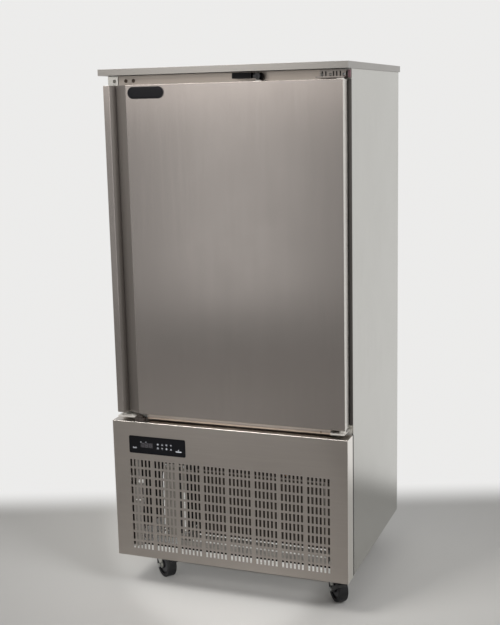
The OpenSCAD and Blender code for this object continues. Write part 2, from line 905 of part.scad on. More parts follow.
// Discharge, liquid and suction lines, with the filter drier
module refrigerant_pipes() {
    comp_top = comp_z + foot_t + compressor_h;
    recv_top = unit_z + receiver_h + recv_neck;
    bend = 22;
    cond_mid = (cond_y0 + cond_y1) / 2;
    suction_rise = floor_z - sheet - comp_top - 18 - 2 * bend;
    color("chocolate") {
        translate([comp_x - 30, comp_y, comp_top])
            copper_pipe([[20, -90, 90],
                         [comp_y - cond_mid - 2 * bend, 0, 90],
                         [comp_top + 20 - cond_z1, 0, 0]]);
        translate([recv_x, recv_y, recv_top])
            copper_pipe([[8, 180, 90], [30, 0, 0]]);
        translate([recv_x - bend - 30, recv_y, recv_top + 8 + bend])
            rotate([0, -90, 0]) cylinder(r = drier_r, h = 80);
        translate([comp_x + 40, comp_y + 20, comp_top])
            copper_pipe([[18, 90, 90], [60, 180, 90], [suction_rise, 0, 0]]);
        rod_y(recv_x, shroud_y1, recv_y - receiver_r - recv_stub,
              unit_z + recv_inlet_z, pipe_r);
    }
}

ebox_side = 100;
ebox_front = 100;
ebox_x0 = -half_w + ebox_side;
ebox_y0 = front_y + ebox_front;

// Electrical box on a folded foot, with its lid towards the front
module electrical_box() {
    x1 = ebox_x0 + ebox_w;
    z0 = frame_z1 + 12;
    color("lightgrey") {
        block([ebox_x0, ebox_y0 + 2, z0], [x1, ebox_y0 + ebox_d, z0 + ebox_h]);
        block([ebox_x0 - 4, ebox_y0, z0 - 4],
              [x1 + 4, ebox_y0 + 2.5, z0 + ebox_h + 4]);
        block([ebox_x0 + 2, ebox_y0 + 20, base_z + frame_t],
              [ebox_x0 + 45, ebox_y0 + 22, z0 + 1]);
        block([ebox_x0 + 10, frame_y1 - frame_w + 1, frame_z1],
              [x1 - 10, frame_y1 - frame_w + 3, z0 + 20]);
        block([ebox_x0 + 30, ebox_y0 + ebox_d - 1, z0 + 10],
              [x1 - 30, frame_y1 - frame_w + 2, z0 + 12]);
    }
}

// Mains cable gland in the back panel: body, lock nut and dome nut
module cable_gland() {
    color("black") difference() {
        union() {
            rod_y(gland_x, back_y - 12, rear_y, gland_z, gland_r);
            rod_y(gland_x, back_y - 6, back_y, gland_z, gland_r + 5);
            rod_y(gland_x, back_y - 14, back_y - 11, gland_z, gland_r - 2);
        }
        rod_y(gland_x, back_y - 16, rear_y + 1, gland_z, gland_r - 5);
    }
}

// -------------------------------------------------------------- evaporator

end_plate_x = coil_w / 2;

// Evaporator: fins between two end plates that stand off the back wall
module evaporator_coil() {
    rows = floor((coil_h - 60) / (4 * bend_r));
    color("gainsboro") {
        along_z(coil_z0 + 4, coil_z1 - 4)
            fin_comb(-end_plate_x, end_plate_x, coil_y0 + 4, coil_y1 - 4,
                     coil_pitch, 0.8);
        both_sides() {
            block([end_plate_x - 0.1, coil_y0, coil_z0],
                  [end_plate_x + 2, liner_y1, coil_z1]);
            block([end_plate_x, liner_y1 - 2, coil_z0 + 10],
                  [end_plate_x + 12, liner_y1, coil_z1 - 10]);
        }
        for (i = [0:rows - 1])
            return_bend(end_plate_x + 1.9, (coil_y0 + coil_y1) / 2,
                        coil_z0 + 42 + i * 4 * bend_r);
    }
}

// Fan panel: a folded cover over the coil, with two fan rings
module fan_panel() {
    x_in = end_plate_x + 2;
    ring_r = evap_fan_r + fan_gap;
    color("lightgrey") difference() {
        union() {
            difference() {
                block([-x_in - sheet, panel_y, coil_z0],
                      [x_in + sheet, coil_y0 + 20, coil_z1]);
                block([-x_in, panel_y + sheet, coil_z0 - 1],
                      [x_in, coil_y0 + 21, coil_z1 + 1]);
            }
            for (z = evap_fan_zs)
                rod_y(0, panel_y, panel_y + 26, z, ring_r + ring_wall);
        }
        for (z = evap_fan_zs)
            rod_y(0, panel_y - 1, panel_y + 27, z, ring_r);
    }
}

guard_rings = 6;
guard_t = 2.5;

// Guards over the two fans: flat rings on four arms
module fan_guards() {
    outer = evap_fan_r + fan_gap + 12;
    step = outer / guard_rings;
    color("silver") for (z = evap_fan_zs)
        translate([0, panel_y, z]) rotate([90, 0, 0])
            linear_extrude(guard_t) {
                for (i = [1:guard_rings])
                    difference() {
                        circle(step * i, $fn = 96);
                        circle(step * i - guard_t, $fn = 96);
                    }
                for (a = [45, 135, 225, 315])
                    rotate(a) translate([step - 1, -guard_t / 2])
                        square([outer - step, guard_t]);
            }
}

module evaporator_fan(z) {
    color("dimgray") translate([0, evap_fan_y, z]) rotate([90, 0, 0])
        fan_rotor(evap_fan_r, evap_hub_r, evap_hub_h, 5, 16);
}

// -------------------------------------------------------------- tray racks

rack_y1 = panel_y - 12;
rack_y0 = rack_y1 - runner_len;
shelf_x = tray_w / 2 - 15;
upright_x = shelf_x + runner_w;
rack_z0 = cavity_z0 + 18;
rack_z1 = cavity_z0 + rack_first + (rack_levels - 1) * rack_pitch + 45;

// One rack: two uprights on pegs, and for each level a flat runner that
// clips to them and lifts out for cleaning
module tray_rack() {
    for (y = [rack_y0, rack_y1 - upright_w])
        block([upright_x, y, rack_z0],
              [upright_x + upright_w, y + upright_w, rack_z1]);
    for (i = [0:rack_levels - 1]) {
        z = cavity_z0 + rack_first + i * rack_pitch;
        block([shelf_x, rack_y0, z],
              [upright_x - touch, rack_y1, z + runner_t]);
    }
    for (y = [rack_y0, rack_y1 - upright_w], z = [rack_z0 + 40, rack_z1 - 40])
        translate([upright_x + upright_w - 1, y + upright_w / 2, z])
            rotate([0, 90, 0])
                cylinder(r = peg_r,
                         h = cavity_w / 2 - upright_x - upright_w + 1);
}

module tray_racks() {
    color("silver") both_sides() tray_rack();
}

// -------------------------------------------------------------------- door

pull_x0 = -door_hw + pull_lip;
pull_x1 = pull_x0 + pull_floor;
pull_x2 = pull_x1 + pull_ramp;
ramp_len = sqrt(pull_ramp * pull_ramp + pull_depth * pull_depth);

// Where the inner side of the ramp meets a line a sheet's width behind it
function ramp_shift(t) =
    t * pull_depth / ramp_len + (pull_ramp / ramp_len - 1) * t
    * pull_ramp / pull_depth;

// Door outline from above, set in by t from the outer skin
module door_outline(t) {
    polygon([
        [-door_hw + t, door_back],
        [-door_hw + t, door_front + t],
        [pull_x0 - t, door_front + t],
        [pull_x0 - t, door_front + pull_depth + t],
        [pull_x1 + ramp_shift(t), door_front + pull_depth + t],
        [pull_x2 + ramp_shift(t), door_front + t],
        [door_hw - t, door_front + t],
        [door_hw - t, door_back]
    ]);
}

// Bores in the door's ends for the hinge bushes
module bush_bores() {
    for (z = [door_z0 - 1, door_z1 - bush_h])
        translate([pin_x, pin_y, z]) cylinder(r = bush_r, h = bush_h + 1);
}

// Outer skin: one folded sheet with the finger pull, and two end caps
module door_skin() {
    color("tan") difference() {
        along_z(door_z0, door_z1) door_outline(0);
        along_z(door_z0 + skin_t, door_z1 - skin_t) intersection() {
            door_outline(skin_t);
            translate([-door_hw, door_front])
                square([2 * door_hw, door_t + 1]);
        }
        block([-door_hw + skin_t, door_back - 1, door_z0 + skin_t],
              [door_hw - skin_t, door_back + 1, door_z1 - skin_t]);
        bush_bores();
    }
}

plug_margin = 14;

// Foam-filled inner pan with its pressed centre
module door_liner() {
    color("gainsboro") difference() {
        union() {
            along_z(door_z0 + skin_t, door_z1 - skin_t) door_outline(skin_t);
            along_y(door_back - 1, door_back + plug_t)
                round_box(-cavity_w / 2 + plug_margin,
                          cavity_w / 2 - plug_margin,
                          cavity_z0 + plug_margin, cavity_z1 - plug_margin,
                          12);
        }
        bush_bores();
    }
}

gasket_in = 6;

// Magnetic gasket: a base, a narrow neck and a soft bulb
module door_gasket() {
    gap = door_gap - touch;
    color("dimgray") {
        gasket_ring(0, door_back, door_back + 3);
        gasket_ring(4, door_back + 3, door_back + gap - 6);
        gasket_ring(1, door_back + gap - 6, door_back + gap);
    }
}

// A frame of the gasket's outline, drawn in by inset on both edges
module gasket_ring(inset, y0, y1) {
    inner = cavity_w / 2 + gasket_in + inset;
    outer = cavity_w / 2 + gasket_in + gasket_w - inset;
    z_in = gasket_in + inset;
    z_out = gasket_in + gasket_w - inset;
    along_y(y0, y1) difference() {
        round_box(-outer, outer, cavity_z0 - z_out, cavity_z1 + z_out, 8);
        translate([-inner, cavity_z0 - z_in])
            square([2 * inner, cavity_h + 2 * z_in]);
    }
}

// Flanged plastic bushes in the door's two ends
module door_bushes() {
    color("white") difference() {
        union() {
            translate([pin_x, pin_y, door_z0 - bush_flange])
                cylinder(r = bush_r + 3, h = bush_flange);
            translate([pin_x, pin_y, door_z1])
                cylinder(r = bush_r + 3, h = bush_flange);
            translate([pin_x, pin_y, door_z0 - 0.5])
                cylinder(r = bush_r - 0.05, h = bush_h);
            translate([pin_x, pin_y, door_z1 - bush_h + 0.5])
                cylinder(r = bush_r - 0.05, h = bush_h);
        }
        for (z = [door_z0 - bush_flange - 1, door_z1 - bush_h - 1])
            translate([pin_x, pin_y, z])
                cylinder(r = pin_r + run_gap, h = bush_h + bush_flange + 2);
    }
}

// ----------------------------------------------------------------- hinges

low_plate_z1 = door_z0 - bracket_drop;
low_plate_z0 = low_plate_z1 - bracket_t;
top_plate_z0 = door_z1 + bracket_rise;
buffer_side = 91;
buffer_x = -half_w + buffer_side;
top_plate_z1 = top_plate_z0 + bracket_t;
bracket_x1 = door_hw - 1.5;
leg_low_z = low_screw_z - 12;

// Bottom hinge plate with its upright leg, seen on the right
module low_bracket_plate(w) {
    leg_x1 = half_w - 4;
    difference() {
        union() {
            block([bracket_x1 - w, front_y - bracket_reach,
                   low_plate_z0],
                  [bracket_x1, front_y, low_plate_z1]);
            block([rail_screw_x[1] - 8, front_y - bracket_t, leg_low_z],
                  [leg_x1, front_y, low_plate_z1]);
        }
        for (x = [post_screw_x, rail_screw_x[0], rail_screw_x[1]])
            rod_y(x, front_y - bracket_t - 1, front_y + 1, low_screw_z,
                  screw_r - 1);
        for (x = [7, 17.5])
            translate([bracket_x1 - w + x, front_y - 42, low_plate_z0 - 1])
                cylinder(r = 2.5, h = bracket_t + 2);
    }
}

module hinge_bracket_bottom() {
    collar_z1 = door_z0 - bush_flange - touch;
    color("silver") {
        low_bracket_plate(bracket_w);
        translate([pin_x, pin_y, low_plate_z1 - 0.5])
            cylinder(r = bush_r + 2, h = collar_z1 - low_plate_z1 + 0.5);
        translate([pin_x, pin_y, low_plate_z0])
            cylinder(r = pin_r, h = door_z0 + bush_h - 4 - low_plate_z0);
    }
}

// The same plate on the left, kept for hanging the door the other way
module spare_hinge_bracket() {
    color("silver") mirror([1, 0, 0]) {
        low_bracket_plate(spare_w);
        translate([pin_x, pin_y, low_plate_z1 - 0.5])
            cylinder(r = bush_r - 2, h = 4.5);
    }
}

// Rubber buffer on the lower cover's top fold
module cover_buffer() {
    color("dimgray") translate([buffer_x, cover_y + 14, cover_z1]) {
        cylinder(r = buffer_r, h = buffer_h);
        cylinder(r = buffer_r + 1, h = 4);
    }
}

module hinge_bracket_top() {
    x0 = bracket_x1 - top_bracket_w;
    collar_z0 = door_z1 + bush_flange + touch;
    pin_z0 = door_z1 - bush_h + 4;
    color("silver") difference() {
        union() {
            block([x0, front_y - bracket_reach + 10, top_plate_z0],
                  [bracket_x1, front_y, top_plate_z1]);
            block([x0, front_y - bracket_t, top_plate_z0],
                  [bracket_x1, front_y, top_z0 - 2]);
            translate([pin_x, pin_y, collar_z0])
                cylinder(r = bush_r + 2, h = top_plate_z0 - collar_z0 + 0.5);
            translate([pin_x, pin_y, pin_z0])
                cylinder(r = pin_r, h = top_plate_z1 - pin_z0);
        }
        for (x = [post_screw_x, rail_screw_x[0], rail_screw_x[1]])
            rod_y(x, front_y - bracket_t - 1, front_y + 1, top_screw_z,
                  screw_r - 1);
    }
}

// ------------------------------------------------------------------- lock

lock_z1 = top_z0 - 3;
lock_z0 = lock_z1 - lock_h;
barrel_x = lock_x + lock_w + 19.5;
barrel_z = door_z1 + 16;
boss_y = front_y - lock_d + 8;
cam_t = 4;
cam_len = 14.7;

// Lock housing on the header, with the boss that holds the barrel
module lock_housing() {
    color("black") difference() {
        union() {
            block([lock_x, front_y - lock_d, lock_z0],
                  [lock_x + lock_w, front_y, lock_z1]);
            block([lock_x + lock_w - 1, boss_y + 4, barrel_z - 4],
                  [barrel_x, front_y, barrel_z + 8]);
            rod_y(barrel_x, boss_y, front_y, barrel_z, boss_r);
        }
        rod_y(barrel_x, boss_y - 1, front_y - 4, barrel_z,
              barrel_r + run_gap);
    }
}

// Barrel with its key slot and the cam that drops before the striker
module lock_barrel() {
    y0 = boss_y - touch - cam_t;
    color("silver") difference() {
        union() {
            rod_y(barrel_x, y0 - 4.5, y0 + 0.5, barrel_z, barrel_r + 2);
            rod_y(barrel_x, y0, front_y - 4 - touch, barrel_z, barrel_r);
            block([barrel_x - cam_len, y0, barrel_z - 4],
                  [barrel_x, y0 + cam_t, barrel_z + 4]);
        }
        block([barrel_x - 1, y0 - 5, barrel_z - 4.5],
              [barrel_x + 1, y0 - 1.5, barrel_z + 4.5]);
    }
}

// Striker folded from a strip, on the door's top behind the cam
module lock_striker() {
    y0 = boss_y + touch;
    color("silver") {
        block([barrel_x - 50, y0, door_z1], [barrel_x + 9, y0 + 9,
              door_z1 + 1.5]);
        block([barrel_x - 9, y0, door_z1],
              [barrel_x + 9, y0 + 2, barrel_z - boss_r - touch]);
    }
}

// ------------------------------------------------------------ lower cover

slots_w = (slot_groups - 1) * group_pitch + (group_slots - 1) * slot_pitch
    + slot_w;
fascia_x0 = -cover_w / 2 + fascia_x;
fascia_z0 = base_z + fascia_z;
body_margin = 6;

// Perforated front cover: a shallow tray with its folds to the back
module lower_cover() {
    hw = cover_w / 2;
    z0 = base_z;
    y1 = cover_y + cover_return;
    tab_z = [z0 + 60, z0 + cover_h / 2, cover_z1 - 90];
    color("tan") {
        along_y(cover_y, cover_y + sheet) difference() {
            translate([-hw, z0]) square([cover_w, cover_h]);
            for (g = [0:slot_groups - 1], c = [0:group_slots - 1],
                 r = [0:slot_rows - 1])
                translate([-slots_w / 2 + g * group_pitch + c * slot_pitch,
                           z0 + slot_z + r * row_pitch])
                    square([slot_w, slot_h]);
            round_box(fascia_x0 + body_margin,
                      fascia_x0 + fascia_w - body_margin,
                      fascia_z0 + body_margin,
                      fascia_z0 + fascia_h - body_margin, 3);
        }
        both_sides() {
            block([hw - sheet, cover_y, z0], [hw, y1, cover_z1]);
            block([hw - cover_lip, y1 - sheet, z0], [hw, y1, cover_z1]);
            for (z = tab_z) {
                block([hw - cover_lip - 2, y1 - sheet, z],
                      [hw - cover_lip, front_y, z + 30]);
                block([hw - cover_lip - 12, front_y - sheet, z],
                      [hw - cover_lip, front_y, z + 30]);
            }
        }
        for (z = [z0, cover_z1 - sheet])
            block([-hw, cover_y, z], [hw, y1, z + sheet]);
    }
}

key_mid_z = fascia_z0 + fascia_h / 2;
display_x0 = fascia_x0 + display_x;
display_z0 = key_mid_z - display_h / 2;

// Centre of key number i, along two rows of four
function key_place(i) = [fascia_x0 + key_x + (i % 4) * key_pitch,
                         key_mid_z + (i < 4 ? 0.5 : -0.5) * key_row];

// Fascia plate with its body through the cover
module control_fascia() {
    color("black") difference() {
        union() {
            along_y(cover_y - fascia_t, cover_y)
                round_box(fascia_x0, fascia_x0 + fascia_w, fascia_z0,
                          fascia_z0 + fascia_h, fascia_r);
            along_y(cover_y - 0.5, cover_y + fascia_body)
                round_box(fascia_x0 + body_margin + touch,
                          fascia_x0 + fascia_w - body_margin - touch,
                          fascia_z0 + body_margin + touch,
                          fascia_z0 + fascia_h - body_margin - touch, 2.7);
        }
        block([display_x0, cover_y - fascia_t - 1, display_z0],
              [display_x0 + display_w, cover_y + fascia_body + 1,
               display_z0 + display_h]);
        for (i = [0:7])
            rod_y(key_place(i)[0], cover_y - fascia_t - 1,
                  cover_y + fascia_body + 1, key_place(i)[1], key_r + touch);
    }
}

// Controller's housing behind the fascia
module control_housing() {
    y0 = cover_y + fascia_body;
    color("dimgray") {
        block([fascia_x0 + body_margin + 2, y0, fascia_z0 + body_margin + 2],
              [fascia_x0 + fascia_w - body_margin - 2, y0 + housing_d,
               fascia_z0 + fascia_h - body_margin - 2]);
        for (x = [fascia_x0 - 3, fascia_x0 + fascia_w - 5])
            block([x, cover_y + sheet, fascia_z0 + 18],
                  [x + 8, cover_y + 30, fascia_z0 + 40]);
        block([fascia_x0 - 3, cover_y + 26, fascia_z0 + 18],
              [fascia_x0 + fascia_w + 3, cover_y + 30, fascia_z0 + 40]);
    }
}

// Dark window over the digits
module display_lens() {
    color("maroon")
        block([display_x0 + 0.2, cover_y - fascia_t + 0.2, display_z0 + 0.2],
              [display_x0 + display_w - 0.2, cover_y + fascia_body,
               display_z0 + display_h - 0.2]);
}

// One key; its back stays clear of the housing over its travel
module control_key(i) {
    color("darkslategray")
        rod_y(key_place(i)[0], cover_y - fascia_t,
              cover_y + fascia_body - key_travel - touch, key_place(i)[1],
              key_r);
}

// ---------------------------------------------------------------- casters

plate_t = 3;
race_h = 6;
race_r = 28;
crown_z1 = base_z - plate_t - race_h - touch;
crown_z0 = crown_z1 - fork_t - 5;
leg_x = hub_w / 2 + touch;

// Fixed top plates with their races and kingpins
module caster_plates() {
    color("silver") for (sx = [-1, 1], y = caster_ys)
        translate([sx * caster_x, y, 0]) {
            difference() {
                along_z(base_z - plate_t, base_z)
                    round_rect(bolt_x + 24, bolt_y + 24, 6);
                for (bx = [-1, 1], by = [-1, 1])
                    translate([bx * bolt_x / 2, by * bolt_y / 2,
                               base_z - plate_t - 1])
                        cylinder(r = bolt_r, h = plate_t + 2);
            }
            along_z(base_z - plate_t - race_h, base_z - plate_t + 0.5)
                circle(race_r);
            along_z(crown_z0 - 4, base_z - plate_t) circle(kingpin_r);
            along_z(crown_z0 - 4 - touch, crown_z0 - touch)
                circle(kingpin_r + 5);
        }
}

// A leg's outline in its own plane: crown at the kingpin, eye at the axle
module fork_leg() {
    eye = 11;
    polygon([[-24, crown_z1], [26, crown_z1],
             [trail + eye, wheel_r], [trail, wheel_r - eye * 0.7],
             [trail - eye, wheel_r], [-24, crown_z0]]);
    translate([trail, wheel_r]) circle(eye);
}

// Swivel fork with its axle, trailing towards +Y
module caster_fork() {
    difference() {
        union() {
            for (s = [-1, 1])
                translate([s * (leg_x + fork_t / 2) - fork_t / 2, 0, 0])
                    rotate([90, 0, 90]) linear_extrude(fork_t) fork_leg();
            block([-leg_x - 1, -24, crown_z0], [leg_x + 1, 24, crown_z0 + fork_t]);
            along_z(crown_z0, crown_z1) circle(race_r - 4);
        }
        translate([0, 0, crown_z0 - 1])
            cylinder(r = kingpin_r + run_gap, h = crown_z1 - crown_z0 + 2);
    }
    translate([-leg_x - fork_t - 10, trail, wheel_r]) rotate([0, 90, 0])
        cylinder(r = axle_r, h = 2 * (leg_x + fork_t + 10));
    for (x = [-leg_x - fork_t - 10, leg_x + fork_t + 6])
        translate([x, trail, wheel_r]) rotate([0, 90, 0])
            cylinder(r = axle_r + 3, h = 4);
}

// Wheel with a rounded tread, recessed sides and a hub
module caster_wheel() {
    translate([0, trail, wheel_r]) rotate([0, 90, 0])
        rotate_extrude($fn = 96) difference() {
            union() {
                translate([axle_r + run_gap, -hub_w / 2])
                    square([10, hub_w]);
                translate([axle_r + run_gap, -wheel_w * 0.3])
                    square([wheel_r * 0.8, wheel_w * 0.6]);
                translate([wheel_r * 0.74, -wheel_w / 2 + 3])
                    square([wheel_r * 0.26, wheel_w - 6]);
                translate([wheel_r * 0.74, -wheel_w / 2])
                    square([wheel_r * 0.26 - 3, wheel_w]);
                for (s = [-1, 1])
                    translate([wheel_r - 3, s * (wheel_w / 2 - 3)])
                        circle(3, $fn = 24);
            }
            translate([wheel_r, -wheel_w]) square([5, 2 * wheel_w]);
        }
}

pedal_x = leg_x + fork_t + touch;

// Side brake lever on the axle's end, pressed down where it rests
module caster_brake() {
    difference() {
        union() {
            translate([pedal_x, 0, 0]) rotate([90, 0, 90]) linear_extrude(5) {
                translate([trail, wheel_r]) circle(10);
                polygon([[trail - 6, wheel_r + 6], [trail + 8, wheel_r - 6],
                         [trail + 52, wheel_r + 24],
                         [trail + 48, wheel_r + 34]]);
            }
            block([pedal_x - 26, trail + 47, wheel_r + 24],
                  [pedal_x + 5, trail + 53, wheel_r + 34]);
        }
        translate([pedal_x - 1, trail, wheel_r]) rotate([0, 90, 0])
            cylinder(r = axle_r + run_gap, h = 8);
    }
}

// A caster's piece, set at its corner and turned about its kingpin
module at_caster(sx, y, turn) {
    translate([sx * caster_x, y, 0]) rotate([0, 0, turn]) children();
}

module place_front_left() {
    at_caster(-1, caster_ys[0], -turn_fl) children();
}

module place_front_right() {
    at_caster(1, caster_ys[0], -turn_fr) children();
}

module place_rear_left() {
    at_caster(-1, caster_ys[1], 180) children();
}

module place_rear_right() {
    at_caster(1, caster_ys[1], 180) children();
}

// ------------------------------------------------------------------ nodes

side_panel_left();
side_panel_right();
back_panel();
worktop();
header_rail();
sill_rail();
cavity_liner();
insulation();
breaker_frame();
base_frame();
unit_tray();
lower_cover();
control_fascia();
control_housing();
display_lens();
control_key(0);  // key_1
control_key(1);  // key_2
control_key(2);  // key_3
control_key(3);  // key_4
control_key(4);  // key_5
control_key(5);  // key_6
control_key(6);  // key_7
control_key(7);  // key_8
compressor();
condenser_coil();
condenser_shroud();
condenser_fan();
fan_motors();
liquid_receiver();
refrigerant_pipes();
electrical_box();
cable_gland();
evaporator_coil();
fan_panel();
fan_guards();
evaporator_fan(evap_fan_zs[1]);  // evaporator_fan_upper
evaporator_fan(evap_fan_zs[0]);  // evaporator_fan_lower
tray_racks();
door_skin();
door_liner();
door_gasket();
door_bushes();
hinge_bracket_top();
hinge_bracket_bottom();
spare_hinge_bracket();
cover_buffer();
lock_housing();
lock_barrel();
lock_striker();
caster_plates();
color("silver") place_front_left() caster_fork();  // fork_front_left
color("silver") place_front_right() caster_fork();  // fork_front_right
color("silver") place_rear_left() caster_fork();  // fork_rear_left
color("silver") place_rear_right() caster_fork();  // fork_rear_right
color("black") place_front_left() caster_wheel();  // wheel_front_left
color("black") place_front_right() caster_wheel();  // wheel_front_right
color("black") place_rear_left() caster_wheel();  // wheel_rear_left
color("black") place_rear_right() caster_wheel();  // wheel_rear_right
color("black") place_front_left() mirror([1, 0, 0]) caster_brake();  // brake_front_left
color("black") place_front_right() caster_brake();  // brake_front_right
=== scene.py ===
"""Looks of the upright blast chiller: its sheet steel, plastics, fasteners and machine parts.

Metres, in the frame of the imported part: +Z up, the door faces -Y, the origin on the floor under the cabinet.
"""

import json
import math

import bmesh
import bpy
from mathutils import Matrix, Vector


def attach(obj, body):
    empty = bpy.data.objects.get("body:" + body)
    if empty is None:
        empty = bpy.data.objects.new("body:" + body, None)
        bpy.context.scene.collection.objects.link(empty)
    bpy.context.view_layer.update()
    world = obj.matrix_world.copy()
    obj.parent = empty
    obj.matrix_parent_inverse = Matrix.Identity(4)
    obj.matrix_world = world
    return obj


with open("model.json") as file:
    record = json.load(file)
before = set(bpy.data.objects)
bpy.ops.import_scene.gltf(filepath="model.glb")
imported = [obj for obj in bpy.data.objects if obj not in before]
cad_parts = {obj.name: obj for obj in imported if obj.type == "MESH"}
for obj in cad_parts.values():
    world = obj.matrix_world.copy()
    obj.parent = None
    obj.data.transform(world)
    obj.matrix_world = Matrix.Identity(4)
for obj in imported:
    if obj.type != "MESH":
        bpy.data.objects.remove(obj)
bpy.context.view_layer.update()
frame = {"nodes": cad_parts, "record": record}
NODES = frame["nodes"]
MM = 0.001

# ------------------------------------------------------------------ places taken from the part, in millimetres
FASCIA_FRONT, DOOR_FRONT, FRAME_FRONT, BACK = -340.0, -323.0, -267.0, 340.0
BRACKET_FRONT, BOX_FRONT = -271.0, -167.0
SCREW_XS = (377.4, 336.7, 310.3)
TOP_SCREW_Z, LOW_SCREW_Z = 1680.7, 583.5
KEY_XS, KEY_ZS = (-240.0, -224.4, -208.8, -193.2), (514.0, 501.0)
# Each caster's swivel axis in x and y, and the way its axle points in degrees from X.
CASTERS = {"front_left": (-312, -195, -128), "front_right": (312, -195, -140),
           "rear_left": (-312, 268, 180), "rear_right": (312, 268, 180)}
CASTER_TRAIL, WHEEL_RADIUS, PLATE_UNDERSIDE = 38.0, 45.0, 112.0


# ------------------------------------------------------------------ colour and node tools
def linear(hexa):
    """sRGB hex to the linear colour that Blender works in."""
    parts = [int(hexa[i:i + 2], 16) / 255 for i in (1, 3, 5)]
    return tuple(c / 12.92 if c <= 0.04045 else ((c + 0.055) / 1.055) ** 2.4 for c in parts) + (1.0,)


def put(tree, node, sockets):
    """Gives each socket of a node a value or another node's output."""
    for name, value in sockets.items():
        if isinstance(value, bpy.types.NodeSocket):
            tree.links.new(value, node.inputs[name])
        else:
            node.inputs[name].default_value = value


def add(tree, kind, sockets=None, **settings):
    """A new node with its settings and sockets."""
    made = tree.nodes.new(kind)
    for name, value in settings.items():
        setattr(made, name, value)
    put(tree, made, sockets or {})
    return made


def begin(name):
    """An empty material with its shader and the place of each point on the part."""
    material = bpy.data.materials.new(name)
    material.use_nodes = True
    tree = material.node_tree
    tree.nodes.clear()
    shader = add(tree, "ShaderNodeBsdfPrincipled")
    add(tree, "ShaderNodeOutputMaterial", {"Surface": shader.outputs[0]})
    place = add(tree, "ShaderNodeTexCoord").outputs["Object"]
    return material, tree, shader, place


def dress(material, shader, sockets, relief, strength, depth_mm):
    """Gives the shader its sockets and a relief that is depth_mm deep, and returns the material."""
    tree = material.node_tree
    bump = add(tree, "ShaderNodeBump", {"Height": relief, "Strength": strength, "Distance": depth_mm * MM})
    put(tree, shader, {**sockets, "Normal": bump.outputs[0]})
    return material


def times(colour, share, lift=0.0):
    """A linear colour made lighter or darker by a share, with an even lift on top."""
    return tuple(min(1.0, c * share + lift) for c in colour[:3]) + (1.0,)


def spots(tree, place, per_metre, detail=3.0, rough=0.55, stretch=(1, 1, 1), twist=0.0):
    """Cloudy noise with that many spots a metre, drawn out along an axis where stretch is below 1."""
    scaled = add(tree, "ShaderNodeMapping", {"Vector": place, "Scale": tuple(s * per_metre for s in stretch)})
    return add(tree, "ShaderNodeTexNoise", {"Vector": scaled.outputs[0], "Scale": 1.0, "Detail": detail,
                                            "Roughness": rough, "Distortion": twist}).outputs[0]


def spread(tree, source, low, high, source_low=0.3, source_high=0.7):
    """Carries a pattern over to the range from low to high."""
    return add(tree, "ShaderNodeMapRange", {"Value": source, "From Min": source_low, "From Max": source_high,
                                            "To Min": low, "To Max": high}).outputs[0]


def between(tree, share, first, second):
    """One colour where share is 0 and the other where it is 1."""
    return add(tree, "ShaderNodeMix", {0: share, 6: first, 7: second}, data_type="RGBA").outputs[2]


# ------------------------------------------------------------------ finishes
# The return colour is a painted highlight on the folded returns; the recess colour is painted shade in the pressed-in
# recess.
RETURN_PAINTED_HIGHLIGHT, RECESS_PAINTED_SHADE, RECESS_ROUGH = linear("#EDE9E3"), linear("#8F8984"), 0.55


def brushed_stainless(name, colour, rough=0.30, grain="Z", anisotropic=0.6, wave_mm=0.25, depth=0.03, fold_mm=None,
                      recess=None):
    """304 stainless sheet, belt brushed in one direction: a soft mirror whose reflections smear across the grain.

    The real grain is 0.1 mm wide, too fine to show, so the lines are drawn 3 mm wide with fainter 17 mm bands.
    Wave_mm is how far the sheet swells over its width. Depth is how much darker the deepest lines look, as a share
    of the sheet's own brightness. Further out than fold_mm from the middle lies the folded return, which is given a
    paler colour as a painted highlight. Recess is the (x, y) beyond which the sheet is pressed in: there its grain is
    scuffed to a duller roughness, and its colour is painted darker and even, as painted shade in the recess.
    """
    material, tree, shader, place = begin(name)
    along = {"X": (0.03, 1, 1), "Z": (1, 1, 0.03)}[grain]
    lines = spots(tree, place, 320, 1.0, 0.5, along)
    bands = spots(tree, place, 60, 1.0, 0.5, tuple(s if s == 1 else 0.05 for s in along))
    handling = spots(tree, place, 7, 4.0, 0.6)
    both = add(tree, "ShaderNodeMath", {0: lines, 1: bands}, operation="MULTIPLY").outputs[0]
    base = linear(colour)
    shade = between(tree, spread(tree, both, 0.0, 1.0, 0.15, 0.38), times(base, 1 - depth), times(base, 1 + depth / 2))
    gloss = add(tree, "ShaderNodeMath", {0: spread(tree, lines, -0.003, 0.003),
                                         1: spread(tree, handling, rough - 0.01, rough + 0.02)}).outputs[0]
    x, y = add(tree, "ShaderNodeSeparateXYZ", {0: place}).outputs[:2]
    # Painted highlight: the folded return is given a paler colour.
    if fold_mm:
        out = add(tree, "ShaderNodeMath", {0: x}, operation="ABSOLUTE").outputs[0]
        beyond = add(tree, "ShaderNodeMath", {0: out, 1: fold_mm * MM}, operation="GREATER_THAN").outputs[0]
        shade = between(tree, beyond, shade, RETURN_PAINTED_HIGHLIGHT)
    # Painted shade: the pressed-in recess is given a darker, even colour, and a duller roughness.
    if recess:
        left = add(tree, "ShaderNodeMath", {0: x, 1: recess[0] * MM}, operation="LESS_THAN").outputs[0]
        deep = add(tree, "ShaderNodeMath", {0: y, 1: recess[1] * MM}, operation="GREATER_THAN").outputs[0]
        pressed = add(tree, "ShaderNodeMath", {0: left, 1: deep}, operation="MULTIPLY").outputs[0]
        shade = between(tree, pressed, shade, RECESS_PAINTED_SHADE)
        gloss = add(tree, "ShaderNodeMix", {0: pressed, 2: gloss, 3: RECESS_ROUGH}).outputs[0]
    return dress(material, shader, {"Base Color": shade, "Roughness": gloss, "Metallic": 1.0,
                                    "Anisotropic": anisotropic, "Anisotropic Rotation": 0.0 if grain == "Z" else 0.25},
                 spots(tree, place, 2.6, 1.0, 0.4), 1.0, wave_mm)


